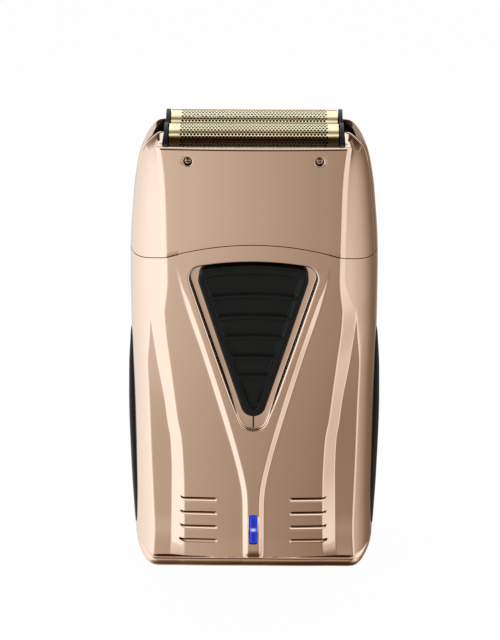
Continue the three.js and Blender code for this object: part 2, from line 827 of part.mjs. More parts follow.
function addScrews() {
  const frontSeat = frontScrewY + screwHeadDepth + gap / 2;
  const rearSeat = rearScrewY - screwHeadDepth - gap / 2;
  const frontLength = -frontSeat - lugInnerY - gap;
  const rearLength = rearSeat - lugInnerY - gap;
  [['left', -1], ['right', 1]].forEach(([name, side]) => {
    const front = screw(screwHeadRadius, screwHeadDepth, screwShankRadius, frontLength);
    const rear = screw(screwHeadRadius, screwHeadDepth, screwShankRadius, rearLength);
    addMesh(`head_screw_front_${name}`, front, 'steel', [side * screwX, frontSeat, screwZ], [0, 0, Math.PI]);
    addMesh(`head_screw_rear_${name}`, rear, 'steel', [side * screwX, rearSeat, screwZ]);
  });
  const names = ['low_left', 'low_right', 'high_left', 'high_right'];
  bodyScrewPlaces.forEach(([x, z], i) => {
    const seat = bodyScrewSeat(z) + gap / 2;
    const length = seat - spineFront + bodyScrewBite;
    const piece = screw(bodyScrewHeadRadius, bodyScrewHeadDepth, bodyScrewShankRadius, length);
    addMesh(`body_screw_${names[i]}`, piece, 'steel', [x, seat, z]);
  });
}

// Side grips: a moulded strip whose back sits in the pocket and whose face swells past the shell
function sideGrip(side) {
  const swell = guide([[gripBottom, 0.35], [14, 0.75], [37, 1], [50, 0.75], [gripTop, 0.1]]);
  const levels = [gripBottom - 1, 10, 16, 24, 37, 44, 50, 56, gripTop + 1];
  const rings = levels.map((z) => {
    const half = halfSection(Math.max(z, baseRim + 0.4));
    const face = half.filter(([x]) => x > gripFloorX - gripSeatReach);
    const proud = gripProud * swell(z);
    const skin = face.map(([x, y]) => {
      const reach = Math.max(0, 1 - ((y - gripMiddleY) / gripSwellReach) ** 4);
      return new THREE.Vector3(side * (x + gripEdgeRise + proud * reach), y, z);
    });
    const last = skin[skin.length - 1];
    const first = skin[0];
    const backX = side * creaseAt(z);
    const back = [new THREE.Vector3(backX, last.y, z), new THREE.Vector3(backX, first.y, z)];
    const loop = [...skin, ...back];
    return side > 0 ? loop : loop.reverse();
  });
  const innerX = gripFloorX + gap;
  const strip = side > 0
    ? drawnAlongX(gripOutline(0), innerX, wide, 4)
    : drawnAlongX(gripOutline(0), -wide, -innerX, 4);
  return common(strip, loft(rings));
}

// Thumb switch pad with a raised rim and bowed ribs between shallow pockets
function switchPad() {
  const outline = drawnAlongY(wedge(padWedge), deep, 0);
  const ribs = padRows.map((z) => {
    const bar = new THREE.Shape();
    const half = padRib / 2;
    const reach = panelHalf;
    bar.moveTo(-reach, z - half - padRibSag);
    bar.quadraticCurveTo(0, z - half + padRibRise, reach, z - half - padRibSag);
    bar.lineTo(reach, z + half - padRibSag);
    bar.quadraticCurveTo(0, z + half + padRibRise, -reach, z + half - padRibSag);
    bar.closePath();
    return drawnAlongY(bar, deep, 0);
  });
  const pockets = cut(drawnAlongY(wedge(grown(padWedge, -padRim)), deep, 0), ...ribs);
  const face = common(cut(outline, pockets), behindPad(0));
  const bulk = common(outline, behindPad(padPocketDepth));
  const stemHole = block(
    -stemHalf - gap, stemHalf + gap, stemFrontY - gap, 0,
    stemZ - stemHeight / 2 - gap, stemZ + stemHeight / 2 + gap,
  );
  return cut(join(face, bulk), behindPad(padThickness), stemHole);
}

// A space around the lever, as wide and high as the lever with a clearance
function leverSpace(y0, y1, travel) {
  const bottom = stemZ - leverHalfHeight - travel - gap;
  const top = stemZ + leverHalfHeight + gap;
  return block(-leverHalfWidth - gap, leverHalfWidth + gap, y0, y1, bottom, top);
}

// Plate behind the recess floor, with a stem into the pad and a pocket for the switch lever
function switchSlider() {
  const stemBottom = stemZ - stemHeight / 2;
  const stemTop = stemZ + stemHeight / 2;
  const plate = block(
    -sliderHalfWidth, sliderHalfWidth, sliderFrontY, sliderBackY,
    stemZ - sliderHalfHeight, stemZ + sliderHalfHeight,
  );
  const stem = block(-stemHalf, stemHalf, stemFrontY, sliderFrontY + gap, stemBottom, stemTop);
  return cut(join(plate, stem), leverSpace(sliderFrontY + sliderThickness / 3, 0, 0));
}

function slideSwitch() {
  const body = block(
    -switchHalfWidth, switchHalfWidth, switchFrontY, boardFrontY - gap,
    stemZ - switchBelow, stemZ + switchAbove,
  );
  return cut(body, leverSpace(switchFrontY - gap, switchFrontY + leverReach, switchTravel));
}

function addSwitch() {
  addMesh('switch_pad', switchPad(), 'rubber');
  addMesh('switch_slider', switchSlider(), 'darkPlastic');
  addMesh('slide_switch', slideSwitch(), 'darkPlastic');
  const lever = block(
    -leverHalfWidth, leverHalfWidth, sliderFrontY + sliderThickness / 3 + gap,
    switchFrontY + leverReach - gap, stemZ - leverHalfHeight, stemZ + leverHalfHeight,
  );
  addMesh('slide_switch_lever', lever, 'natural');
}

function addIndicator() {
  const frontY = panelY(0, lensZ) - ridgeRise + lensRecess;
  const ledBack = boardFrontY - gap;
  const ledFront = ledBack - ledDepth;
  const lens = drawnAlongY(stadium(lensWidth / 2, lensHeight / 2, lensZ), frontY, ledFront - gap);
  const led = block(
    -ledHalfWidth, ledHalfWidth, ledFront, ledBack, lensZ - ledHalfHeight, lensZ + ledHalfHeight,
  );
  addMesh('indicator_lens', lens, 'blueLens');
  addMesh('indicator_led', led, 'natural');
}

// Battery, board and charging socket
const batteryTop = batteryBottom + batteryLength;

function batteryTab(z0) {
  return block(
    -tabHalfWidth, tabHalfWidth, boardY + gap, batteryY + terminalRadius, z0, z0 + tabThickness,
  );
}

function addPower() {
  const shoulder = batteryLength - terminalHeight;
  const cell = new THREE.LatheGeometry([
    new THREE.Vector2(0, 0),
    new THREE.Vector2(batteryRadius - batteryCrimp, 0),
    new THREE.Vector2(batteryRadius, batteryCrimp),
    new THREE.Vector2(batteryRadius, shoulder - batteryCrimp),
    new THREE.Vector2(batteryRadius - batteryCrimp, shoulder),
    new THREE.Vector2(terminalRadius, shoulder),
    new THREE.Vector2(terminalRadius, batteryLength),
    new THREE.Vector2(0, batteryLength),
  ], 20);
  addMesh('battery_cell', cell, 'wrap', [0, batteryY, batteryBottom], [Math.PI / 2, 0, 0]);
  addMesh('battery_tab_negative', batteryTab(batteryBottom - gap - tabThickness), 'steel');
  addMesh('battery_tab_positive', batteryTab(batteryTop + gap), 'steel');
  const boardTop = motorBottom - motorCapThickness - 3 * gap;
  const board = block(-boardHalfWidth, boardHalfWidth, boardFrontY, boardY, batteryBottom - 2, boardTop);
  addMesh('circuit_board', board, 'board');
}

const socketTop = socketMouth + socketDepth + socketRoof;

function addSocket() {
  const flangeRadius = socketRadius + socketFlange;
  const flangeZ = wall + gap - socketMouth;
  const profile = [
    new THREE.Vector2(socketPinRadius + gap, socketDepth),
    new THREE.Vector2(socketBore, socketDepth),
    new THREE.Vector2(socketBore, socketChamfer),
    new THREE.Vector2(socketBore + socketChamfer, 0),
    new THREE.Vector2(socketRadius, 0),
    new THREE.Vector2(socketRadius, flangeZ),
    new THREE.Vector2(flangeRadius, flangeZ),
    new THREE.Vector2(flangeRadius, socketDepth + socketRoof),
    new THREE.Vector2(socketPinRadius + gap, socketDepth + socketRoof),
    new THREE.Vector2(socketPinRadius + gap, socketDepth),
  ];
  const housing = new THREE.LatheGeometry(profile, 12).rotateX(Math.PI / 2);
  addMesh('charging_socket', housing, 'darkPlastic', [0, socketY, socketMouth]);
  const pin = new THREE.LatheGeometry([
    new THREE.Vector2(0, 0),
    new THREE.Vector2(socketPinRadius / 2, 0),
    new THREE.Vector2(socketPinRadius, socketPinRadius / 2),
    new THREE.Vector2(socketPinRadius, socketDepth),
    new THREE.Vector2(0, socketDepth),
  ], 10).rotateX(Math.PI / 2);
  addMesh('socket_pin', pin, 'steel', [0, socketY, socketMouth + socketPinStep]);
}

// Motor and the eccentric that drives the bridge
const motorTop = motorBottom + motorLength;
const topPlateZ = motorTop + gap;
const camBottom = topPlateZ + chassisPlate + camLift;
const camTop = camBottom + camThickness;
const bridgeBottom = camTop + gap;
const bridgeTop = bridgeBottom + bridgeThickness;

function addMotor() {
  const can = cut(
    join(
      upright(motorRadius, motorBottom, motorTop, 24),
      upright(motorHubRadius, motorTop - gap, motorTop + motorHubHeight, 16),
    ),
    upright(shaftRadius + gap, motorTop - shaftDepth - gap, camBottom, 12),
  );
  addMesh('motor_can', can, 'steel');
  const capBottom = motorBottom - gap - motorCapThickness;
  const brushSlots = [-1, 1].map((side) => {
    const middle = side * (motorRadius - brushDepth / 2);
    const y0 = middle - brushDepth / 2;
    return block(-brushHalfWidth, brushHalfWidth, y0, y0 + brushDepth, capBottom - gap, motorBottom);
  });
  const cap = cut(upright(motorRadius - motorCapStep, capBottom, motorBottom - gap, 24), ...brushSlots);
  addMesh('motor_end_cap', cap, 'natural');
  const shaftTop = camTop - camRoof - gap;
  addMesh('motor_shaft', upright(shaftRadius, motorTop - shaftDepth, shaftTop, 12), 'steel');
  const cam = cut(
    join(
      upright(camRadius, camBottom, camTop, 20),
      upright(pinRadius, camTop - camRoof, bridgeTop - gap, 14, eccentricity, 0),
    ),
    upright(shaftRadius + gap, camBottom - gap, camTop - camRoof, 12),
  );
  addMesh('eccentric_cam', cam, 'brass');
}

// Moulded chassis: a spine with bulkheads and saddles for the battery and the motor
function chassis() {
  const front = boardY + gap;
  const outline = new THREE.Shape();
  outline.moveTo(-chassisHalfWidth, chassisFootZ);
  outline.lineTo(-chassisHalfWidth + chassisFootStep, socketTop + gap);
  outline.lineTo(chassisHalfWidth - chassisFootStep, socketTop + gap);
  outline.lineTo(chassisHalfWidth, chassisFootZ);
  outline.lineTo(chassisHalfWidth, topPlateZ + chassisPlate);
  outline.lineTo(-chassisHalfWidth, topPlateZ + chassisPlate);
  outline.closePath();
  const spine = drawnAlongY(outline, spineFront, chassisRear);
  const back = spineFront + chassisPlate / 2;
  const cradle = (z, radius) => {
    const half = radius + cradleWall;
    return block(-half, half, cradleFront, back, z, z + cradleHeight);
  };
  const shelfTop = batteryBottom - gap - tabThickness - gap;
  const pieces = [
    block(-shelfHalf, shelfHalf, front, back, socketTop + gap, shelfTop),
    ...batteryCradles.map((z) => cradle(z, batteryRadius)),
    cradle(motorBottom + cradleHeight, motorRadius),
    cradle(motorTop - 2 * cradleHeight, motorRadius),
    block(-topPlateHalf, topPlateHalf, -motorRadius, back, topPlateZ, topPlateZ + chassisPlate),
  ];
  const armMiddle = boardHalfWidth - armWidth / 4;
  const arms = [-armMiddle, armMiddle].flatMap((x) => boardArms.map((z) => (
    block(x - armWidth / 2, x + armWidth / 2, front, back, z, z + armHeight)
  )));
  const holes = bodyScrewPlaces.map(([x, z]) => rodAlongY(bodyScrewShankRadius + gap, 0, wide, x, z, 8));
  return cut(
    join(spine, ...pieces, ...arms),
    upright(batteryRadius + gap, shelfTop, motorBottom, 20, 0, batteryY),
    upright(motorRadius + gap, motorBottom - motorCapThickness, topPlateZ, 24),
    upright(motorHubRadius + gap, topPlateZ - gap, camBottom, 16),
    ...holes,
  );
}

// Deck over the drive: it carries the guide rods and the lugs that the head screws bite into
const deckTop = cassetteBottom - gap;
const deckBottom = deckTop - deckThickness;
const rodZ = (bridgeBottom + bridgeTop) / 2;
const rodLugInner = bridgeHalfLength + stroke + 3 * gap;
const rodLugOuter = rodLugInner + rodLugThickness;
const lugTop = screwZ + lugRise;
const corners = [[-1, -1], [1, -1], [-1, 1], [1, 1]];

function postSlot(y, clearance, z0, z1) {
  const radius = postRadius + clearance;
  const outline = new THREE.Shape();
  outline.absarc(stroke, y, radius, -Math.PI / 2, Math.PI / 2, false);
  outline.absarc(-stroke, y, radius, Math.PI / 2, 1.5 * Math.PI, false);
  outline.closePath();
  return drawnUp(outline, z0, z1, 3);
}

// The lower and upper end of a stretch that is mirrored by a sign
function span(sign, near, far) {
  return sign > 0 ? [near, far] : [-far, -near];
}

function headDeck() {
  const halfX = wellHalfX - 2 * gap;
  const halfY = wellHalfY - gap;
  const lugBottom = deckBottom + deckThickness / 2;
  const plate = block(-halfX, halfX, -halfY, halfY, deckBottom, deckTop);
  const screwLugs = corners.map(([sx, sy]) => {
    const middle = sx * screwX;
    const reach = span(sy, lugInnerY, halfY);
    return block(middle - lugHalfWidth, middle + lugHalfWidth, ...reach, lugBottom, lugTop);
  });
  const rodLugs = corners.map(([sx, sy]) => {
    const reach = span(sx, rodLugInner, rodLugOuter);
    const low = sy * rodY - rodLugHalfWidth;
    return block(...reach, low, low + 2 * rodLugHalfWidth, rodZ - earHalfHeight, lugBottom);
  });
  const rodBores = corners.map(([sx, sy]) => (
    rodAlongX(rodRadius + gap, ...span(sx, rodLugInner - gap, rodLugOuter - rodSink), sy * rodY, rodZ, 10)
  ));
  const screwBores = corners.map(([sx, sy]) => (
    rodAlongY(screwShankRadius + gap, ...span(sy, lugInnerY - gap, wide), sx * screwX, screwZ, 8)
  ));
  return cut(
    join(plate, ...screwLugs, ...rodLugs),
    postSlot(-foilY, deckSlotClearance, deckBottom - gap, deckTop + gap),
    postSlot(foilY, deckSlotClearance, deckBottom - gap, deckTop + gap),
    ...rodBores, ...screwBores,
  );
}

function hairSeal() {
  const top = deckBottom - gap;
  const bottom = top - sealThickness;
  const halfY = foilY + sealRim;
  return cut(
    block(-sealHalfLength, sealHalfLength, -halfY, halfY, bottom, top),
    postSlot(-foilY, gap, bottom - gap, top + gap),
    postSlot(foilY, gap, bottom - gap, top + gap),
  );
}

// Bridge that slides on the rods, with a cross slot for the eccentric pin and two posts
const slotReachX = pinRadius + eccentricity + stroke + slotClearance;
const slotReachY = pinRadius + eccentricity + slotClearance;
const cutterFootZ = foilAxisZ - cutterFoot;
const bladeRoot = foilAxisZ - cutterFoot / 4;
const carrierTop = cutterFootZ - gap;
const carrierBottom = carrierTop - carrierFlange;
const boreTop = carrierTop + boreDepth;
const postTop = boreTop - cutterPlunge - gap;
const seatBottom = deckTop + gap;
const seatTop = seatBottom + seatThickness;

function oscillatorBridge() {
  const halfY = rodY - bridgeSideStep;
  const plate = block(-bridgeHalfLength, bridgeHalfLength, -halfY, halfY, bridgeBottom, bridgeTop);
  const ears = corners.map(([sx, sy]) => {
    const x = sx * earX;
    const y = sy * (rodY - bridgeSideStep / 3);
    return block(
      x - earHalfLength, x + earHalfLength, y - earHalfWidth, y + earHalfWidth,
      rodZ - earHalfHeight, rodZ + earHalfHeight,
    );
  });
  const posts = [-foilY, foilY].flatMap((y) => [
    upright(postRadius, bridgeTop - gap, postTop, 12, 0, y),
    upright(seatRadius, seatBottom, seatTop, 14, 0, y),
  ]);
  const bores = [-rodY, rodY].map((y) => (
    rodAlongX(rodRadius + gap, -rodLugInner, rodLugInner, y, rodZ, 10)
  ));
  const low = bridgeBottom - gap;
  const high = bridgeTop + gap;
  const slot = block(-slotReachX, slotReachX, -slotReachY, slotReachY, low, high);
  const windows = [-windowX, windowX].map((x) => (
    block(x - windowHalfWidth, x + windowHalfWidth, -windowHalfLength, windowHalfLength, low, high)
  ));
  return cut(join(plate, ...ears, ...posts), slot, ...windows, ...bores);
}

// Compression spring between a post's seat and its carrier
function cutterSpring() {
  const bottom = seatTop + gap / 2 + springWire;
  const top = carrierBottom - gap / 2 - springWire;
  const radius = seatRadius - 0.45;
  const steps = 8;
  const sides = 5;
  const total = Math.round(springTurns * steps);
  const positions = [];
  const index = [];
  for (let i = 0; i <= total; i += 1) {
    const angle = (i / steps) * 2 * Math.PI;
    const z = bottom + ((top - bottom) * i) / total;
    for (let k = 0; k < sides; k += 1) {
      const turn = (k / sides) * 2 * Math.PI;
      const reach = radius + springWire * Math.cos(turn);
      positions.push(reach * Math.cos(angle), reach * Math.sin(angle), z + springWire * Math.sin(turn));
    }
  }
  for (let i = 0; i < total; i += 1) {
    for (let k = 0; k < sides; k += 1) {
      const a = i * sides + k;
      const b = i * sides + (k + 1) % sides;
      index.push(a, b + sides, b, a, a + sides, b + sides);
    }
  }
  for (let k = 1; k < sides - 1; k += 1) {
    index.push(0, k, k + 1);
    index.push(total * sides, total * sides + k + 1, total * sides + k);
  }
  const geometry = new THREE.BufferGeometry();
  geometry.setAttribute('position', new THREE.Float32BufferAttribute(positions, 3));
  geometry.setIndex(index);
  geometry.computeVertexNormals();
  return geometry;
}

// Carrier that floats on a post and holds one cutter
function cutterCarrier() {
  const flangeHalf = foilRadius - foilSheet - 1.5 * gap;
  const ribHalf = flangeHalf - cutterWall - gap;
  const outline = new THREE.Shape();
  outline.moveTo(-flangeHalf, carrierBottom);
  outline.lineTo(flangeHalf, carrierBottom);
  outline.lineTo(flangeHalf, carrierTop);
  outline.lineTo(ribHalf, carrierTop);
  outline.lineTo(ribHalf, boreTop + carrierCrown);
  outline.lineTo(-ribHalf, boreTop + carrierCrown);
  outline.lineTo(-ribHalf, carrierTop);
  outline.lineTo(-flangeHalf, carrierTop);
  outline.closePath();
  const bar = drawnAlongX(outline, -carrierHalfLength, carrierHalfLength);
  return cut(bar, upright(postRadius + gap, carrierBottom - gap, boreTop, 14));
}

// Comb of half-round blades, cut from one arch
function cutterComb() {
  const outerRadius = foilRadius - foilSheet - gap;
  const innerRadius = outerRadius - cutterWall;
  const arch = new THREE.Shape();
  arch.moveTo(outerRadius, cutterFootZ);
  arch.lineTo(outerRadius, foilAxisZ);
  arch.absarc(0, foilAxisZ, outerRadius, 0, Math.PI, false);
  arch.lineTo(-outerRadius, cutterFootZ);
  arch.lineTo(-innerRadius, cutterFootZ);
  arch.lineTo(-innerRadius, foilAxisZ);
  arch.absarc(0, foilAxisZ, innerRadius, Math.PI, 0, true);
  arch.lineTo(innerRadius, cutterFootZ);
  arch.closePath();
  const bar = drawnAlongX(arch, -cutterHalfLength, cutterHalfLength, 3);
  const count = Math.floor((2 * cutterHalfLength - bladePitch / 2) / bladePitch);
  const slots = Array.from({ length: count }, (_, i) => {
    const x = (i - (count - 1) / 2) * bladePitch;
    return block(x - bladeSlot / 2, x + bladeSlot / 2, -foilPitch, foilPitch, bladeRoot, overallHeight);
  });
  return cut(bar, ...slots);
}

// One foil: a sheet bent over a half circle with straight skirts, and staggered diamond openings
function foil() {
  const inner = foilRadius - foilSheet;
  const facets = holeRows + 2;
  const sheet = new THREE.Shape();
  sheet.moveTo(foilRadius, foilSkirtBottom);
  sheet.lineTo(foilRadius, foilAxisZ);
  sheet.absarc(0, foilAxisZ, foilRadius, 0, Math.PI, false);
  sheet.lineTo(-foilRadius, foilSkirtBottom);
  sheet.lineTo(-inner, foilSkirtBottom);
  sheet.lineTo(-inner, foilAxisZ);
  sheet.absarc(0, foilAxisZ, inner, Math.PI, 0, true);
  sheet.lineTo(inner, foilSkirtBottom);
  sheet.closePath();
  const bent = drawnAlongX(sheet, -foilHalfLength, foilHalfLength, facets / 2);
  const holes = [];
  for (let row = 0; row < holeRows; row += 1) {
    const angle = (row - (holeRows - 1) / 2) * (Math.PI / facets);
    const shift = (row % 2) * holePitch / 2;
    const first = -holeFieldHalf + holeLength / 2 + shift;
    for (let x = first; x <= holeFieldHalf - holeLength / 2; x += holePitch) {
      const hole = new THREE.CylinderGeometry(holeWidth / 2, holeWidth / 2, 5 * foilSheet, 4);
      hole.scale(holeLength / holeWidth, 1, 1).translate(0, foilRadius - foilSheet / 2, 0);
      holes.push(hole.rotateX(Math.PI / 2 - angle).translate(x, 0, foilAxisZ));
    }
  }
  return cut(bent, ...holes);
}

// Cassette frame: two rails, a lip and a centre bar under the foils, and humped end caps
function foilFrame() {
  const signs = [-1, 1];
  const lipTop = cassetteBottom + cassetteLip;
  const railBottom = cassetteBottom + capStep;
  const capMiddle = (endCapInner + endCapOuter) / 2;
  const rails = signs.map((side) => (
    block(-capMiddle, capMiddle, ...span(side, railInnerY, railOuterY), railBottom, railTop - capStep)
  ));
  const lips = signs.map((side) => (
    block(-capMiddle, capMiddle, ...span(side, foilOuterY - foilSheet, railOuterY), railBottom, lipTop)
  ));
  const barHalf = foilY - foilRadius + foilSheet;
  const bar = block(-capMiddle, capMiddle, -barHalf, barHalf, railBottom, lipTop);
  const humpRadius = foilRadius + endCapLip;
  const shoulderAngle = Math.asin((railTop - foilAxisZ) / humpRadius);
  const cap = new THREE.Shape();
  cap.moveTo(-capOuterY, cassetteBottom);
  cap.lineTo(capOuterY, cassetteBottom);
  cap.lineTo(capOuterY, railTop);
  cap.absarc(foilY, foilAxisZ, humpRadius, shoulderAngle, Math.PI - valleyAngle, false);
  cap.absarc(-foilY, foilAxisZ, humpRadius, valleyAngle, Math.PI - shoulderAngle, false);
  cap.lineTo(-capOuterY, railTop);
  cap.closePath();
  const caps = [
    drawnAlongX(cap, endCapInner, endCapOuter),
    drawnAlongX(cap, -endCapOuter, -endCapInner),
  ];
  const notches = corners.map(([sx, sy]) => {
    const half = lugHalfWidth + gap;
    const middle = sx * screwX;
    return block(middle - half, middle + half, ...span(sy, foilY, wellHalfY), deckTop, lugTop + gap);
  });
  return cut(join(caps[0], caps[1], ...rails, ...lips, bar), ...notches);
}

function addHead() {
  addMesh('head_deck', headDeck(), 'darkPlastic');
  addMesh('hair_seal', hairSeal(), 'rubber');
  const rodHalf = rodLugOuter - rodSink - gap;
  addMesh('guide_rod_front', rodAlongX(rodRadius, -rodHalf, rodHalf, -rodY, rodZ), 'steel');
  addMesh('guide_rod_rear', rodAlongX(rodRadius, -rodHalf, rodHalf, rodY, rodZ), 'steel');
  addMesh('oscillator_bridge', oscillatorBridge(), 'natural');
  [['front', -foilY], ['rear', foilY]].forEach(([name, y]) => {
    addMesh(`cutter_spring_${name}`, cutterSpring(), 'steel', [0, y, 0]);
    addMesh(`cutter_carrier_${name}`, cutterCarrier(), 'darkPlastic', [0, y, 0]);
    addMesh(`cutter_${name}`, cutterComb(), 'steel', [0, y, 0]);
    addMesh(`foil_${name}`, foil(), 'gold', [0, y, 0]);
  });
  addMesh('foil_frame', foilFrame(), 'darkPlastic');
}

addMesh('head_front_cover', headFrontCover(), 'plating');
addMesh('head_rear_cover', headRearCover(), 'plating');
addMesh('body_front_cover', bodyFrontCover(), 'plating');
addMesh('body_rear_cover', bodyRearCover(), 'plating');
addMesh('grip_left', sideGrip(-1), 'rubber');
addMesh('grip_right', sideGrip(1), 'rubber');
addScrews();
addSwitch();
addIndicator();
addPower();
addSocket();
addMotor();
addMesh('chassis', chassis(), 'darkPlastic');
addHead();

export default object;
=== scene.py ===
"""A cordless foil shaver in rose-gold plating, dressed for a plain studio picture.

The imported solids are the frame. Every class below stands for one sub-assembly of the shaver: it
holds its sizes in millimetres, builds its meshes in the frame of the solids and dresses them.
"""
import json
import logging
import math
from collections.abc import Callable, Sequence
from dataclasses import dataclass
from enum import Enum
from functools import lru_cache

import bmesh
import bpy
from mathutils import Matrix, Vector

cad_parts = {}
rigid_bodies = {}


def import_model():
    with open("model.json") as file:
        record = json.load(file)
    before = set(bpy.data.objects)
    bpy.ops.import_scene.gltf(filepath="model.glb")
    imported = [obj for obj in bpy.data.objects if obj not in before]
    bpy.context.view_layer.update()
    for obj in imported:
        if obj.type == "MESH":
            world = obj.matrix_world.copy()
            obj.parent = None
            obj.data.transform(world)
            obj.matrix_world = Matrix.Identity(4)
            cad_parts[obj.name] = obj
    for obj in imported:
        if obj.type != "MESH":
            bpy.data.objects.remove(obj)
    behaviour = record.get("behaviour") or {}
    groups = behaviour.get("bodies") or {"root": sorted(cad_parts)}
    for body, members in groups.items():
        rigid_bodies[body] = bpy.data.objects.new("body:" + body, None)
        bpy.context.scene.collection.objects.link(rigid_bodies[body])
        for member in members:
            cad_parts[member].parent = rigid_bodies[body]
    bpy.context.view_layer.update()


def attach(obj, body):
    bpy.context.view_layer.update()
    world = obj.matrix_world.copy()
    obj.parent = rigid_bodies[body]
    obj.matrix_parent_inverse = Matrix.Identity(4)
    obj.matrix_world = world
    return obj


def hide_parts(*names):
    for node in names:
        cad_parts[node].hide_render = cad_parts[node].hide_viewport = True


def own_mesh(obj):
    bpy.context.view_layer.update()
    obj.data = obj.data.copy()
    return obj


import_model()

MM = 0.001
TINY = 1e-9
LARGEST_SHARE = 0.42    # of a side, at each of its ends, for the round of a corner
WELD = 2e-6             # metres
JOIN = 4e-6
BEVEL_ANGLE = 40        # degrees
COIL_STEPS = 20         # of each turn of a spring
WIRE_SIDES = 8
Flat = tuple[float, float]
Point = tuple[float, float, float]
Colour = tuple[float, ...]
Socket = bpy.types.NodeSocket
Tree = bpy.types.NodeTree
log = logging.getLogger("shaver")


# Small rules of form

def blend(start: float, end: float, share: float) -> float:
    """Returns the value at a share of the way from start to end."""
    return start + (end - start) * share


def ease(value: float) -> float:
    """Returns a smooth step from 0 to 1 over the same range of value."""
    held = min(max(value, 0.0), 1.0)
    return held * held * (3.0 - 2.0 * held)


@dataclass(frozen=True)
class Guide:
    """A size that follows height smoothly through stations of height and value."""

    stations: tuple[Flat, ...]

    def __call__(self, height: float) -> float:
        """Reads the guide.

        Args:
            height: Height above the base in millimetres.

        Returns:
            The size there, held at the first and last station beyond them.
        """
        heights, values = zip(*self.stations)
        last = len(heights) - 1
        if height <= heights[0]:
            return values[0]
        if height >= heights[last]:
            return values[last]
        slopes = [(values[i + 1] - values[i]) / (heights[i + 1] - heights[i]) for i in range(last)]

        def tangent(i: int) -> float:
            """Returns the slope at a station, without overshoot."""
            if i == 0:
                return slopes[0]
            if i == last:
                return slopes[last - 1]
            product = slopes[i - 1] * slopes[i]
            return 0.0 if product <= 0 else 2 * product / (slopes[i - 1] + slopes[i])

        i = next(k for k in range(last) if heights[k + 1] > height)
        span = heights[i + 1] - heights[i]
        t = (height - heights[i]) / span
        mixed = blend(values[i], values[i + 1], t * t * (3 - 2 * t))
        rise = t * (1 - t) * (1 - t) * span * tangent(i)
        fall = t * t * (t - 1) * span * tangent(i + 1)
        return mixed + rise + fall


def between(start: Flat, end: Flat, share: float) -> Flat:
    """Returns the point at a share of the way from start to end."""
    return blend(start[0], end[0], share), blend(start[1], end[1], share)


def bow_point(start: Flat, pull: Flat, end: Flat, t: float) -> Flat:
    """Returns a point of the curve from start to end that a third point pulls on."""
    return tuple((1 - t) ** 2 * start[k] + 2 * t * (1 - t) * pull[k] + t * t * end[k] for k in range(2))


def on_circle(middle: Flat, radius: float, first: float, last: float, steps: int) -> list[Flat]:
    """Returns the points of an arc from one angle to another, both included."""
    angles = [blend(first, last, k / steps) for k in range(steps + 1)]
    return [(middle[0] + radius * math.cos(a), middle[1] + radius * math.sin(a)) for a in angles]


def corner_arc(before: Flat, corner: Flat, after: Flat, radius: float, steps: int) -> list[Flat]:
    """Rounds one corner of an outline.

    Args:
        before: The corner before it.
        corner: The corner to round.
        after: The corner after it.
        radius: Distance from the corner at which the round starts, at most.
        steps: Number of points on the round.

    Returns:
        The points of the round, from the side of before to that of after.
    """
    def towards(other: Flat) -> Flat:
        """Returns the point where the round leaves the side to the other corner."""
        away = math.dist(corner, other)
        share = min(radius / away, LARGEST_SHARE) if away > TINY else 0.0
        return between(corner, other, share)

    start, end = towards(before), towards(after)
    return [bow_point(start, corner, end, i / (steps - 1)) for i in range(steps)]


# Meshes

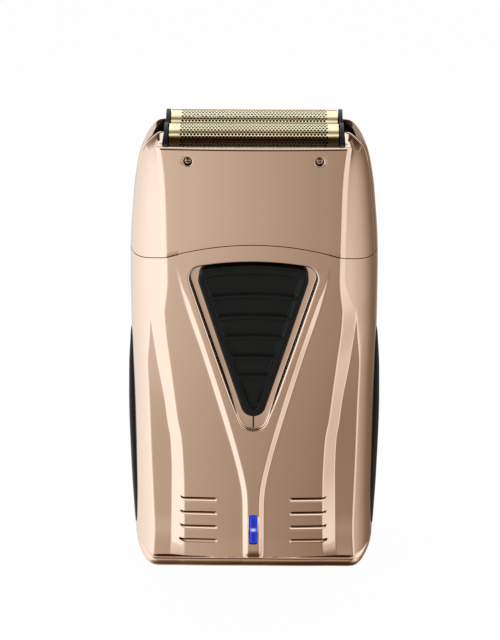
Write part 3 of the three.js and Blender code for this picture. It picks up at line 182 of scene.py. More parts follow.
class Form:
    """Points and faces gathered for one mesh, in millimetres."""

    def __init__(self) -> None:
        """Starts an empty form."""
        self.points: list[Point] = []
        self.faces: list[tuple[int, ...]] = []
        self.slots: list[int] = []

    def add(self, points: Sequence[Point], faces: Sequence[Sequence[int]], slot: int = 0) -> None:
        """Adds points with faces that count from the first of them.

        Args:
            points: The points.
            faces: The faces.
            slot: Material slot of the faces.
        """
        first = len(self.points)
        self.points.extend(points)
        self.faces.extend(tuple(first + i for i in face) for face in faces)
        self.slots.extend([slot] * len(faces))

    def join(self, other: "Form") -> None:
        """Adds another form."""
        first = len(self.points)
        self.points.extend(other.points)
        self.faces.extend(tuple(first + i for i in face) for face in other.faces)
        self.slots.extend(other.slots)

    def grid(self, rows: Sequence[Sequence[Point]], ring: bool = False, inner: Sequence[int] = ()) -> None:
        """Adds a skin over rows of equally many points.

        Args:
            rows: The rows of points.
            ring: True if each row closes on itself.
            inner: The bands between rows that take the second material slot, the painted shade.
        """
        wide = len(rows[0])
        faces = [
            (c, (c + 1) % wide, wide + (c + 1) % wide, wide + c) for c in range(wide if ring else wide - 1)
        ]
        for r in range(len(rows) - 1):
            self.add([*rows[r], *rows[r + 1]], faces, int(r in inner))

    def tube(self, rings: Sequence[Sequence[Point]], inner: Sequence[int] = ()) -> None:
        """Adds a closed body through rings, with a flat end at the first and the last.

        Args:
            rings: The rings of points.
            inner: The bands between rings that take the second material slot, the painted shade.
        """
        self.grid(rings, True, inner)
        wide = len(rings[0])
        self.add(list(rings[0]), [tuple(range(wide))], int(0 in inner))
        self.add(list(rings[-1]), [tuple(range(wide))])

    def block(self, corner: Point, opposite: Point) -> None:
        """Adds a box between two opposite corners."""
        (x0, x1), (y0, y1), (z0, z1) = (sorted(pair) for pair in zip(corner, opposite))
        ring = [(x0, y0), (x1, y0), (x1, y1), (x0, y1)]
        self.tube([[(x, y, z) for x, y in ring] for z in (z0, z1)])

    def plate(
        self, outer: Sequence[Sequence[Point]], inner: Sequence[Sequence[Point]], dull: Sequence[int] = (),
    ) -> None:
        """Adds a closed body between two skins of the same rows and columns.

        Args:
            outer: The outer skin.
            inner: The inner skin.
            dull: The bands of the outer skin, with the edge beside them, that take the second
                material slot, the painted shade.
        """
        self.grid(outer, inner=dull)
        self.grid(inner)
        self.grid([outer[0], inner[0]], inner=(0,) if 0 in dull else ())
        self.grid([outer[-1], inner[-1]], inner=(0,) if len(outer) - 2 in dull else ())
        # The parting end faces also take the painted shade whenever any band does.
        ends = (0,) if dull else ()
        self.grid([[row[0] for row in outer], [row[0] for row in inner]], inner=ends)
        self.grid([[row[-1] for row in outer], [row[-1] for row in inner]], inner=ends)

    def turned(
        self, profile: Sequence[Flat], steps: int, place: Callable[[Point], Point],
        inner: Sequence[int] = (),
    ) -> None:
        """Adds a body turned from a profile.

        Args:
            profile: Radius and height of each point, starting and ending on the axis.
            steps: Number of points round the axis.
            place: Moves a point from the turning axis to its place.
            inner: The bands of the profile that take the second material slot, the painted shade.
        """
        angles = [2 * math.pi * k / steps for k in range(steps)]
        self.grid([
            [place((radius * math.cos(a), radius * math.sin(a), height)) for a in angles]
            for radius, height in profile
        ], True, inner)

    def capped(
        self,
        rings: Sequence[Sequence[Point]],
        centre: Flat,
        deep: Callable[[Flat], Point],
        outside: Callable[[Flat], Point],
        inner: Sequence[int] = (),
    ) -> None:
        """Adds a closed body through rings whose two ends follow curved surfaces.

        Args:
            rings: The rings, from the deepest to the outermost.
            centre: X and Z that the ends shrink to.
            deep: Places a point of X and Z on the deep surface.
            outside: Places a point of X and Z on the outer surface.
            inner: The bands between rings that take the second material slot, the painted shade.
        """
        shares = (0.02, 0.2, 0.4, 0.6, 0.8, 0.92)
        first, last = (
            [[place(between(centre, (x, z), share)) for x, _, z in ring] for share in shares]
            for ring, place in ((rings[0], deep), (rings[-1], outside)))
        self.tube(first + list(rings) + last[::-1], [len(first) + band for band in inner])

    def mesh(self, name: str) -> bpy.types.Mesh:
        """Makes a clean Blender mesh in metres with its faces pointing outwards."""
        mesh = bpy.data.meshes.new(name)
        mesh.from_pydata([(x * MM, y * MM, z * MM) for x, y, z in self.points], [], self.faces)
        mesh.polygons.foreach_set("material_index", self.slots)
        work = bmesh.new()
        work.from_mesh(mesh)
        bmesh.ops.remove_doubles(work, verts=work.verts, dist=WELD)
        bmesh.ops.dissolve_degenerate(work, edges=work.edges, dist=WELD / 2)
        bmesh.ops.recalc_face_normals(work, faces=work.faces)
        work.to_mesh(mesh)
        work.free()
        mesh.validate()
        return mesh


def placed(name: str, data: bpy.types.ID) -> bpy.types.Object:
    """Makes an object of some data and links it to the scene."""
    item = bpy.data.objects.new(name, data)
    bpy.context.scene.collection.objects.link(item)
    return item


def smooth(mesh: bpy.types.Mesh, degrees: float) -> None:
    """Shades a mesh smoothly, but for edges sharper than an angle."""
    mesh.shade_smooth()
    mesh.set_sharp_from_angle(angle=math.radians(degrees))


class Piece:
    """One finished visual piece of the shaver."""

    def __init__(self, name: str, form: Form, finish: "Finish", degrees: float = 38.0) -> None:
        """Makes the piece's object.

        Args:
            name: Name of the piece.
            form: Its points and faces.
            finish: Its finish.
            degrees: Edges sharper than this stay sharp.
        """
        self.finish = finish
        self.degrees = degrees
        self.item = placed(name, form.mesh(name))
        self.coat(self.item, form)
        smooth(self.item.data, degrees)

    def coat(self, item: bpy.types.Object, form: Form) -> None:
        """Gives an object the piece's finish, and the painted shade where its form has faces in the second
        slot.
        """
        item.data.materials.append(self.finish.material())
        if 1 in form.slots:
            item.data.materials.append(PAINTED_SHADE.material())

    def settle(self) -> None:
        """Replaces the mesh by what its modifiers make of it."""
        graph = bpy.context.evaluated_depsgraph_get()
        graph.update()
        mesh = bpy.data.meshes.new_from_object(self.item.evaluated_get(graph))
        self.item.modifiers.clear()
        self.item.data = mesh

    def modified(self, kind: str, **settings: object) -> None:
        """Adds a modifier with its settings and keeps what it makes."""
        modifier = self.item.modifiers.new(kind, kind)
        for name, value in settings.items():
            setattr(modifier, name, value)
        self.settle()

    def cut(self, cutter: Form) -> "Piece":
        """Takes a form out of the piece, whose second slot leaves faces coated in painted shade."""
        tool = placed("cutter", cutter.mesh("cutter"))
        self.coat(tool, cutter)
        self.modified(
            "BOOLEAN", operation="DIFFERENCE", solver="MANIFOLD", material_mode="TRANSFER", object=tool)
        bpy.data.objects.remove(tool)
        smooth(self.item.data, self.degrees)
        return self

    def absorb(self, form: Form) -> "Piece":
        """Adds a form to the piece's mesh."""
        added = form.mesh("added")
        work = bmesh.new()
        work.from_mesh(self.item.data)
        work.from_mesh(added)
        bmesh.ops.remove_doubles(work, verts=work.verts, dist=JOIN)
        bmesh.ops.recalc_face_normals(work, faces=work.faces)
        work.to_mesh(self.item.data)
        work.free()
        bpy.data.meshes.remove(added)
        smooth(self.item.data, self.degrees)
        return self

    def polish(self) -> "Piece":
        """Lets the large faces lead the shading, so that cuts leave no smears beside them."""
        self.modified("WEIGHTED_NORMAL", mode="FACE_AREA", keep_sharp=True)
        return self

    def bevel(self, width: float) -> "Piece":
        """Rounds the sharp edges of the piece by a width in millimetres."""
        self.modified("BEVEL", width=width * MM, segments=2, limit_method="ANGLE",
                      angle_limit=math.radians(BEVEL_ANGLE))
        smooth(self.item.data, self.degrees)
        return self

    def repeat(self, tree: Tree, **values: float) -> "Piece":
        """Runs a Geometry Nodes tree over the piece and keeps what it makes.

        Args:
            tree: The tree.
            values: A value for each named input, with spaces written as underscores.

        Returns:
            The piece itself.
        """
        modifier = self.item.modifiers.new("repeat", "NODES")
        modifier.node_group = tree
        for socket in tree.interface.items_tree:
            key = socket.name.replace(" ", "_").lower()
            if socket.in_out == "INPUT" and key in values:
                modifier[socket.identifier] = values[key]
            if socket.in_out == "INPUT" and key == "finish":
                modifier[socket.identifier] = self.finish.material()
        self.settle()
        smooth(self.item.data, self.degrees)
        return self

    def move(self, x: float = 0.0, y: float = 0.0, z: float = 0.0) -> "Piece":
        """Moves the mesh by millimetres and leaves the object at the origin."""
        self.item.data.transform(Matrix.Translation((x * MM, y * MM, z * MM)))
        return self

    def seat(self, body: str, slot: str, *nodes: str) -> "Piece":
        """Puts the piece on a body.

        Args:
            body: The body that it rides on.
            slot: The record's material slot; not used.
            nodes: The solids that it stands for.

        Returns:
            The piece itself.
        """
        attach(self.item, body)
        if nodes:
            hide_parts(*nodes)
        triangles = sum(len(face.vertices) - 2 for face in self.item.data.polygons)
        log.info("%s: %d triangles on %s", self.item.name, triangles, body)
        return self


# Node trees

class Wiring:
    """Adds nodes and links to one node tree."""

    def __init__(self, tree: Tree) -> None:
        """Keeps the tree."""
        self.tree = tree

    def node(self, kind: str, **settings: object) -> bpy.types.Node:
        """Adds a node and sets its named properties."""
        made = self.tree.nodes.new(kind)
        for name, value in settings.items():
            setattr(made, name, value)
        return made

    def feed(self, node: bpy.types.Node, given: dict[str | int, object]) -> None:
        """Links sockets to a node's inputs, or sets them to plain values."""
        for key, value in given.items():
            if isinstance(value, Socket):
                self.tree.links.new(value, node.inputs[key])
            else:
                node.inputs[key].default_value = value

    def fed(self, kind: str, given: dict[str | int, object], **settings: object) -> Socket:
        """Adds a node with its inputs and returns its first output."""
        made = self.node(kind, **settings)
        self.feed(made, given)
        return made.outputs[0]

    def math(self, operation: str, first: object, second: object = 0.0) -> Socket:
        """Adds a Math node over numbers or sockets and returns its output."""
        return self.fed("ShaderNodeMath", {0: first, 1: second}, operation=operation)

    def parts(self, source: Socket) -> Sequence[Socket]:
        """Takes a vector apart into X, Y and Z."""
        made = self.node("ShaderNodeSeparateXYZ")
        self.feed(made, {0: source})
        return made.outputs

    def place(self) -> Socket:
        """Adds the place on the object that a shader works at."""
        return self.node("ShaderNodeTexCoord").outputs["Object"]

    def ramp(self, source: Socket, stops: Sequence[tuple[float, Colour]]) -> Socket:
        """Adds a ramp through stops of place and colour, and returns its colour."""
        made = self.node("ShaderNodeValToRGB")
        points = made.color_ramp.elements
        points[1].position, points[1].color = stops[-1]
        for place, colour in stops[1:-1]:
            points.new(place).color = colour
        points[0].position, points[0].color = stops[0]
        self.feed(made, {0: source})
        return made.outputs[0]

    def coated(self, made: Socket, finish: Socket) -> None:
        """Ends a geometry tree with the finish set on what it made."""
        coat = self.fed("GeometryNodeSetMaterial", {"Geometry": made, "Material": finish})
        self.feed(self.node("NodeGroupOutput"), {0: coat})


def wired(owner: bpy.types.ID) -> tuple[Wiring, bpy.types.Nodes]:
    """Turns on the nodes of a material or world and returns its wiring and nodes."""
    owner.use_nodes = True
    return Wiring(owner.node_tree), owner.node_tree.nodes


def new_tree(name: str, kind: str, given: dict[str, str], made: dict[str, str]) -> Tree:
    """Makes an empty node tree with named sockets.

    Args:
        name: Its name.
        kind: Its type.
        given: The kind of each named input.
        made: The kind of each named output.

    Returns:
        The tree.
    """
    tree = bpy.data.node_groups.new(name, kind)
    for sockets, way in ((given, "INPUT"), (made, "OUTPUT")):
        for label, value in sockets.items():
            tree.interface.new_socket(label, in_out=way, socket_type=f"NodeSocket{value}")
    return tree


@lru_cache(maxsize=None)
def repeat_tree(bent: bool) -> Tree:
    """Builds the tree that repeats a piece over columns and rows.

    Args:
        bent: True if the finished sheet is rolled over an axis along X.

    Returns:
        A Geometry Nodes tree with named inputs.
    """
    tree = new_tree("Rolled sheet" if bent else "Rows of pieces", "GeometryNodeTree", {
        "Geometry": "Geometry", "Columns": "Int", "Rows": "Int", "Column pitch": "Float",
        "Row pitch": "Float", "Stagger": "Float", "Radius": "Float", "Finish": "Material",
    }, {"Geometry": "Geometry"})
    wires = Wiring(tree)
    given = wires.node("NodeGroupInput").outputs
    index = wires.node("GeometryNodeInputIndex").outputs[0]
    column = wires.math("MODULO", index, given["Columns"])
    row = wires.math("FLOOR", wires.math("DIVIDE", index, given["Columns"]))
    middle_column = wires.math("MULTIPLY", wires.math("SUBTRACT", given["Columns"], 1.0), 0.5)
    middle_row = wires.math("MULTIPLY", wires.math("SUBTRACT", given["Rows"], 1.0), 0.5)
    odd = wires.math("SUBTRACT", wires.math("MODULO", row, 2.0), 0.5)
    shifted = wires.math("ADD", column, wires.math("MULTIPLY", odd, given["Stagger"]))
    x = wires.math("MULTIPLY", wires.math("SUBTRACT", shifted, middle_column), given["Column pitch"])
    y = wires.math("MULTIPLY", wires.math("SUBTRACT", row, middle_row), given["Row pitch"])
    points = wires.fed("GeometryNodePoints", {
        "Count": wires.math("MULTIPLY", given["Columns"], given["Rows"]),
        "Position": wires.fed("ShaderNodeCombineXYZ", {0: x, 1 if bent else 2: y}),
    })
    spread = wires.fed("GeometryNodeInstanceOnPoints", {"Points": points, "Instance": given["Geometry"]})
    made = wires.fed("GeometryNodeRealizeInstances", {0: spread})
    if bent:
        weld = wires.fed("GeometryNodeMergeByDistance", {"Geometry": made, "Distance": JOIN})
        across, along, above = wires.parts(wires.node("GeometryNodeInputPosition").outputs[0])
        angle = wires.math("DIVIDE", along, given["Radius"])
        reach = wires.math("ADD", above, given["Radius"])
        rolled = wires.fed("ShaderNodeCombineXYZ", {
            0: across,
            1: wires.math("MULTIPLY", wires.math("SINE", angle), reach),
            2: wires.math("MULTIPLY", wires.math("COSINE", angle), reach),
        })
        made = wires.fed("GeometryNodeSetPosition", {"Geometry": weld, "Position": rolled})
    wires.coated(made, given["Finish"])
    return tree


@lru_cache(maxsize=None)
def coil_tree() -> Tree:
    """Builds the tree that winds a wire into a spring with named sizes."""
    tree = new_tree("Wound wire", "GeometryNodeTree", {
        "Geometry": "Geometry", "Turns": "Float", "Coil radius": "Float", "Coil height": "Float",
        "Wire radius": "Float", "Finish": "Material",
    }, {"Geometry": "Geometry"})
    wires = Wiring(tree)
    given = wires.node("NodeGroupInput").outputs
    spiral = wires.fed("GeometryNodeCurveSpiral", {
        "Resolution": COIL_STEPS, "Rotations": given["Turns"], "Start Radius": given["Coil radius"],
        "End Radius": given["Coil radius"], "Height": given["Coil height"],
    })
    circle = wires.fed(
        "GeometryNodeCurvePrimitiveCircle", {"Resolution": WIRE_SIDES, "Radius": given["Wire radius"]})
    sweep = wires.fed(
        "GeometryNodeCurveToMesh", {"Curve": spiral, "Profile Curve": circle, "Fill Caps": True})
    wires.coated(wires.fed("GeometryNodeRealizeInstances", {0: sweep}), given["Finish"])
    return tree


# Finishes

class Surface(Enum):
    """Kinds of surface, each with its share of metal."""

    MOULDED = 0.0
    METAL = 1.0


@lru_cache(maxsize=None)
def haze_group() -> Tree:
    """Builds the shared group of soft uneven haze and fine grain.

    Returns:
        A shader group with inputs Coarse, Fine and Stretch, and outputs Haze and Grain.
    """
    tree = new_tree("Haze and grain", "ShaderNodeTree", {
        "Coarse": "Float", "Fine": "Float", "Stretch": "Float",
    }, {"Haze": "Float", "Grain": "Float"})
    wires = Wiring(tree)
    given = wires.node("NodeGroupInput").outputs
    squeeze = wires.fed("ShaderNodeCombineXYZ", {0: given["Stretch"], 1: 1.0, 2: 1.0})
    scaled = wires.fed("ShaderNodeVectorMath", {0: wires.place(), 1: squeeze}, operation="MULTIPLY")
    noise = {
        out: wires.fed("ShaderNodeTexNoise", {"Detail": 3.0, "Vector": scaled, "Scale": given[size]})
        for size, out in (("Coarse", "Haze"), ("Fine", "Grain"))
    }
    wires.feed(wires.node("NodeGroupOutput"), noise)
    return tree


@dataclass(frozen=True)
class Finish:
    """A finish of one or more pieces."""

    name: str
    colour: tuple[float, float, float]
    roughness: float
    surface: Surface
    tone: float = 0.06
    haze: float = 0.04
    depth: float = 0.02
    coarse: float = 60.0
    fine: float = 2500.0
    stretch: float = 1.0
    specular: float = 0.5

    def shade(self, share: float) -> tuple[float, float, float, float]:
        """Returns the colour made darker or lighter by a share of its tone."""
        return tuple(min(c * (1.0 + self.tone * share), 1.0) for c in self.colour) + (1.0,)

    def material(self) -> bpy.types.Material:
        """Makes the Blender material once, and returns it again after that."""
        known = bpy.data.materials.get(self.name)
        if known:
            return known
        made = bpy.data.materials.new(self.name)
        wires, nodes = wired(made)
        group = wires.node("ShaderNodeGroup", node_tree=haze_group())
        wires.feed(group, {"Coarse": self.coarse, "Fine": self.fine, "Stretch": self.stretch})
        haze, grain = group.outputs["Haze"], group.outputs["Grain"]
        colour = wires.ramp(haze, ((0.3, self.shade(-1.0)), (0.7, self.shade(1.0))))
        spread = wires.math("MULTIPLY", wires.math("SUBTRACT", haze, 0.5), self.haze)
        bump = wires.fed("ShaderNodeBump", {"Strength": 1.0, "Distance": self.depth * MM, "Height": grain})
        wires.feed(nodes["Principled BSDF"], {
            "Metallic": self.surface.value, "Specular IOR Level": self.specular, "Base Color": colour,
            "Roughness": wires.math("ADD", spread, self.roughness), "Normal": bump,
        })
        return made


@dataclass(frozen=True)
class GlowFinish(Finish):
    """A lit light guide, bright along its edge and deep in the middle, with a painted white highlight
    across its middle.
    """

    middle: float = 13.2
    half_width: float = 0.95
    half_height: float = 3.95
    core: Colour = (0.002, 0.004, 0.12, 1.0)
    edge: Colour = (0.012, 0.06, 0.75, 1.0)
    spark: Colour = (0.75, 0.85, 1.0, 1.0)

    def material(self) -> bpy.types.Material:
        """Makes the material with its light following the distance from the middle line, and a painted
        highlight along that line.
        """
        known = bpy.data.materials.get(self.name)
        made = super().material()
        if known:
            return made
        wires, nodes = wired(made)
        x, _, z = wires.parts(wires.place())
        side = wires.math("DIVIDE", wires.math("ABSOLUTE", x), self.half_width * MM)
        rise = wires.math("ABSOLUTE", wires.math("SUBTRACT", z, self.middle * MM))
        end = wires.math("DIVIDE", rise, self.half_height * MM)
        rim = wires.math("MAXIMUM", wires.math("POWER", side, 2.0), wires.math("POWER", end, 9.0))
        # Painted highlight: a white line of emission across the middle stands in for a reflection on the
        # domed face.
        spot = wires.math("SUBTRACT", 1.0, wires.math("MULTIPLY", end, 6.0))
        painted_glint_mask = wires.math("MULTIPLY", wires.math("MAXIMUM", spot, 0.0), wires.math("SUBTRACT", 1.0, side))
        mixed = wires.node("ShaderNodeMix", data_type="RGBA")
        wires.feed(mixed, {
            "Factor": painted_glint_mask, 6: wires.ramp(rim, ((0.0, self.core), (1.0, self.edge))), 7: self.spark})
        wires.feed(nodes["Principled BSDF"], {"Emission Color": mixed.outputs[2], "Emission Strength": 1.0})
        return made


PLATING = Finish("rose_gold_plating", (0.93, 0.72, 0.58), 0.06, Surface.METAL,
                 tone=0.015, haze=0.03, depth=0.0004, coarse=35.0, fine=900.0)
# Painted shade: a near-black finish laid on the walls of grooves, recesses, holes, notches and seam gaps so
# that they read as shaded.
PAINTED_SHADE = Finish("dull_inner_plating", (0.012, 0.007, 0.005), 0.55, Surface.MOULDED,
              tone=0.15, haze=0.1, depth=0.002, coarse=160.0, fine=2600.0, specular=0.2)
RUBBER = Finish("soft_black_rubber", (0.0036, 0.0056, 0.0055), 0.42, Surface.MOULDED,
                tone=0.2, haze=0.08, depth=0.03, coarse=250.0, fine=5200.0, specular=0.28)
BLACK = Finish("satin_black_moulding", (0.009, 0.0095, 0.010), 0.38, Surface.MOULDED,
               tone=0.15, haze=0.08, depth=0.012, coarse=180.0, fine=4200.0)
GOLD = Finish("gold_coated_foil", (0.97, 0.86, 0.57), 0.08, Surface.METAL,
              tone=0.1, haze=0.1, depth=0.004, coarse=300.0, fine=2600.0, stretch=0.2)
STEEL = Finish("bright_steel", (0.62, 0.62, 0.63), 0.26, Surface.METAL,
               haze=0.12, depth=0.006, coarse=140.0, fine=3200.0, stretch=0.1)
# Painted shade: the blade steel is near black so that the foil's holes read as shaded beneath.
SHADE_DARK_BLADE = Finish("hardened_blade_steel", (0.05, 0.05, 0.052), 0.4, Surface.METAL,
               tone=0.08, haze=0.1, depth=0.006, coarse=200.0, fine=3600.0)
ROSE_STEEL = Finish("tinted_screw_steel", (0.62, 0.45, 0.36), 0.2, Surface.METAL,
                    tone=0.1, haze=0.1, depth=0.004, coarse=140.0, fine=3200.0)
BRASS = Finish("turned_brass", (0.72, 0.50, 0.18), 0.28, Surface.METAL,
               tone=0.08, haze=0.1, depth=0.006, coarse=120.0, fine=2400.0)
NATURAL = Finish("natural_nylon", (0.68, 0.69, 0.64), 0.46, Surface.MOULDED,
                 tone=0.05, haze=0.08, depth=0.015, coarse=120.0, fine=3000.0)
BOARD = Finish("green_circuit_board", (0.012, 0.10, 0.045), 0.42, Surface.MOULDED,
               tone=0.25, haze=0.1, depth=0.02, coarse=320.0, fine=2400.0)
CELL = Finish("blue_shrink_wrap", (0.025, 0.15, 0.42), 0.34, Surface.MOULDED,
              tone=0.1, haze=0.1, depth=0.02, coarse=70.0, fine=1600.0)
LIGHT = GlowFinish("lit_blue_light_guide", (0.01, 0.02, 0.35), 0.12, Surface.MOULDED,
                   tone=0.1, haze=0.04, depth=0.002, coarse=200.0, fine=1800.0)


# Outlines of what is let into the front and the sides

@dataclass(frozen=True)
class Wedge:
    """A wedge outline with a bowed top and a round tip, seen from the front."""

    top: float
    tip: float
    tip_radius: float
    corner_radius: float
    slope: float
    bow: float

    def grown(self, by: float) -> "Wedge":
        """Returns the same outline moved outwards by a distance."""
        return Wedge(self.top + by, self.tip - by, self.tip_radius + by, self.corner_radius + by,
                     self.slope, self.bow)

    def corner(self) -> Flat:
        """Returns the middle of the right top corner's round."""
        z = self.top - self.bow - self.corner_radius
        reach = (self.tip_radius - self.corner_radius) * math.hypot(1, self.slope)
        return reach + self.slope * (z - self.tip - self.tip_radius), z

    def outline(self) -> list[Flat]:
        """Returns the outline, anticlockwise from the left end of the tip."""
        tilt = math.atan(self.slope)
        x, z = self.corner()
        lift = math.pi / 2 - math.atan(2 * self.bow / x)
        tip = (0, self.tip + self.tip_radius)
        points = on_circle(tip, self.tip_radius, math.pi + tilt, 2 * math.pi - tilt, 14)
        rounded = on_circle((x, z), self.corner_radius, -tilt, lift, 10)
        sides = [between(points[-1], rounded[0], k / 30) for k in range(1, 30)]
        end = rounded[-1]
        drop = self.top - end[1]
        crest = [(end[0] * (1 - k / 12), self.top - drop * (1 - k / 12) ** 2) for k in range(1, 24)]
        left = [(-u, w) for u, w in reversed(sides + rounded)]
        return points + sides + rounded + crest + left

    def depth_inside(self, x: float, z: float) -> float:
        """Returns how far a point lies inside the outline, or a negative distance outside it."""
        u = abs(x)
        reach = math.hypot(1, self.slope)
        tip_z = self.tip + self.tip_radius
        cx, cz = self.corner()
        lift = math.pi / 2 - math.atan(2 * self.bow / cx)
        angle = math.atan2(z - cz, u - cx)
        if -math.atan(self.slope) <= angle <= lift:
            return self.corner_radius - math.hypot(u - cx, z - cz)
        if self.slope * u + (z - tip_z) < 0:
            return self.tip_radius - math.hypot(u, z - tip_z)
        end = (cx + self.corner_radius * math.cos(lift), cz + self.corner_radius * math.sin(lift))
        crest = self.top - (self.top - end[1]) * (u / end[0]) ** 2 - z
        return min((self.tip_radius * reach + self.slope * (z - tip_z) - u) / reach, crest)

    def face(self, z: float) -> float:
        """Returns the Y of the switch's face at a height, which the recess follows."""
        return PAD_FRONT + PAD_DIP(z)

    def floor(self, z: float) -> float:
        """Returns the Y of the recess floor, which rises towards the tip."""
        return self.face(z) + blend(TIP_FLOOR, DEEP_FLOOR, ease((z - FLOOR_FOOT) / FLOOR_RISE))

    def floor_point(self, point: Flat) -> Point:
        """Places a point on the recess floor."""
        return point[0], self.floor(point[1]), point[1]

    def outside_point(self, point: Flat) -> Point:
        """Places a point a millimetre in front of the switch's face."""
        return point[0], self.face(point[1]) - 1.0, point[1]


@dataclass(frozen=True)
class RoundedBox:
    """An upright outline with four round corners."""

    half_width: float
    half_height: float
    radius: float
    middle: float

    def grown(self, by: float) -> "RoundedBox":
        """Returns the same outline moved outwards by a distance."""
        radius = max(self.radius + by, 0.02)
        return RoundedBox(self.half_width + by, self.half_height + by, radius, self.middle)

    def outline(self) -> list[Flat]:
        """Returns the outline, anticlockwise from the right."""
        points = []
        across, up = self.half_width - self.radius, self.half_height - self.radius
        for quarter, (x, z) in enumerate(((across, up), (-across, up), (-across, -up), (across, -up))):
            first = math.pi / 2 * quarter
            points += on_circle((x, self.middle + z), self.radius, first, first + math.pi / 2, 7)
        return points


@dataclass(frozen=True)
class Leaning:
    """The outline of a side grip seen from the side, with a front edge that leans back."""

    bottom: float = 5.5
    top: float = 60.0
    front: float = -1.2
    rear: float = 9.5
    radius: float = 4.0
    lean: float = 1.5

    def grown(self, by: float) -> "Leaning":
        """Returns the same outline moved outwards by a distance."""
        return Leaning(self.bottom - by, self.top + by, self.front - by, self.rear + by,
                       self.radius + by, self.lean)

    def edges(self, z: float) -> Flat:
        """Returns the Y of the front and the rear edge at a height."""
        share = min(max((z - self.bottom) / (self.top - self.bottom), 0.0), 1.0)
        front = self.front + self.lean * share
        away = min(z - self.bottom, self.top - z)
        if away >= self.radius:
            return front, self.rear
        drop = self.radius * (1 - math.sqrt(max(0.0, 1 - (1 - max(away, 0.0) / self.radius) ** 2)))
        return front + drop, self.rear - drop

    def outline(self) -> list[Flat]:
        """Returns the outline as points of Y and Z."""
        heights = [self.bottom + self.radius * (1 - math.cos(k * math.pi / 20)) for k in range(11)]
        heights += [self.top - self.radius * (1 - math.cos(k * math.pi / 20)) for k in range(10, -1, -1)]
        return [(self.edges(z)[0], z) for z in heights] + [(self.edges(z)[1], z) for z in reversed(heights)]


PAD_FRONT = -17.0
TIP_FLOOR, DEEP_FLOOR = 1.15, 2.9       # the recess floor behind the switch's face
FLOOR_FOOT, FLOOR_RISE = 43.0, 14.0     # height where it starts to deepen, and over how much
PAD_DIP = Guide(((40, 0.25), (50, 0), (60, 0.1), (70, 0.5), (80, 1.1), (86, 1.6)))
RECESS = Wedge(84.1, 41.1, 3.5, 3.0, 0.32, 1.1)
PAD = Wedge(83.5, 45.0, 3.0, 2.8, 0.31, 0.8)
GRIP = Leaning()
HEAD_SCREW_X, HEAD_SCREW_Z = 15.1, 108.1
BODY_SCREW_X, BODY_SCREW_Z = 14.0, (15.0, 76.0)


# The housing

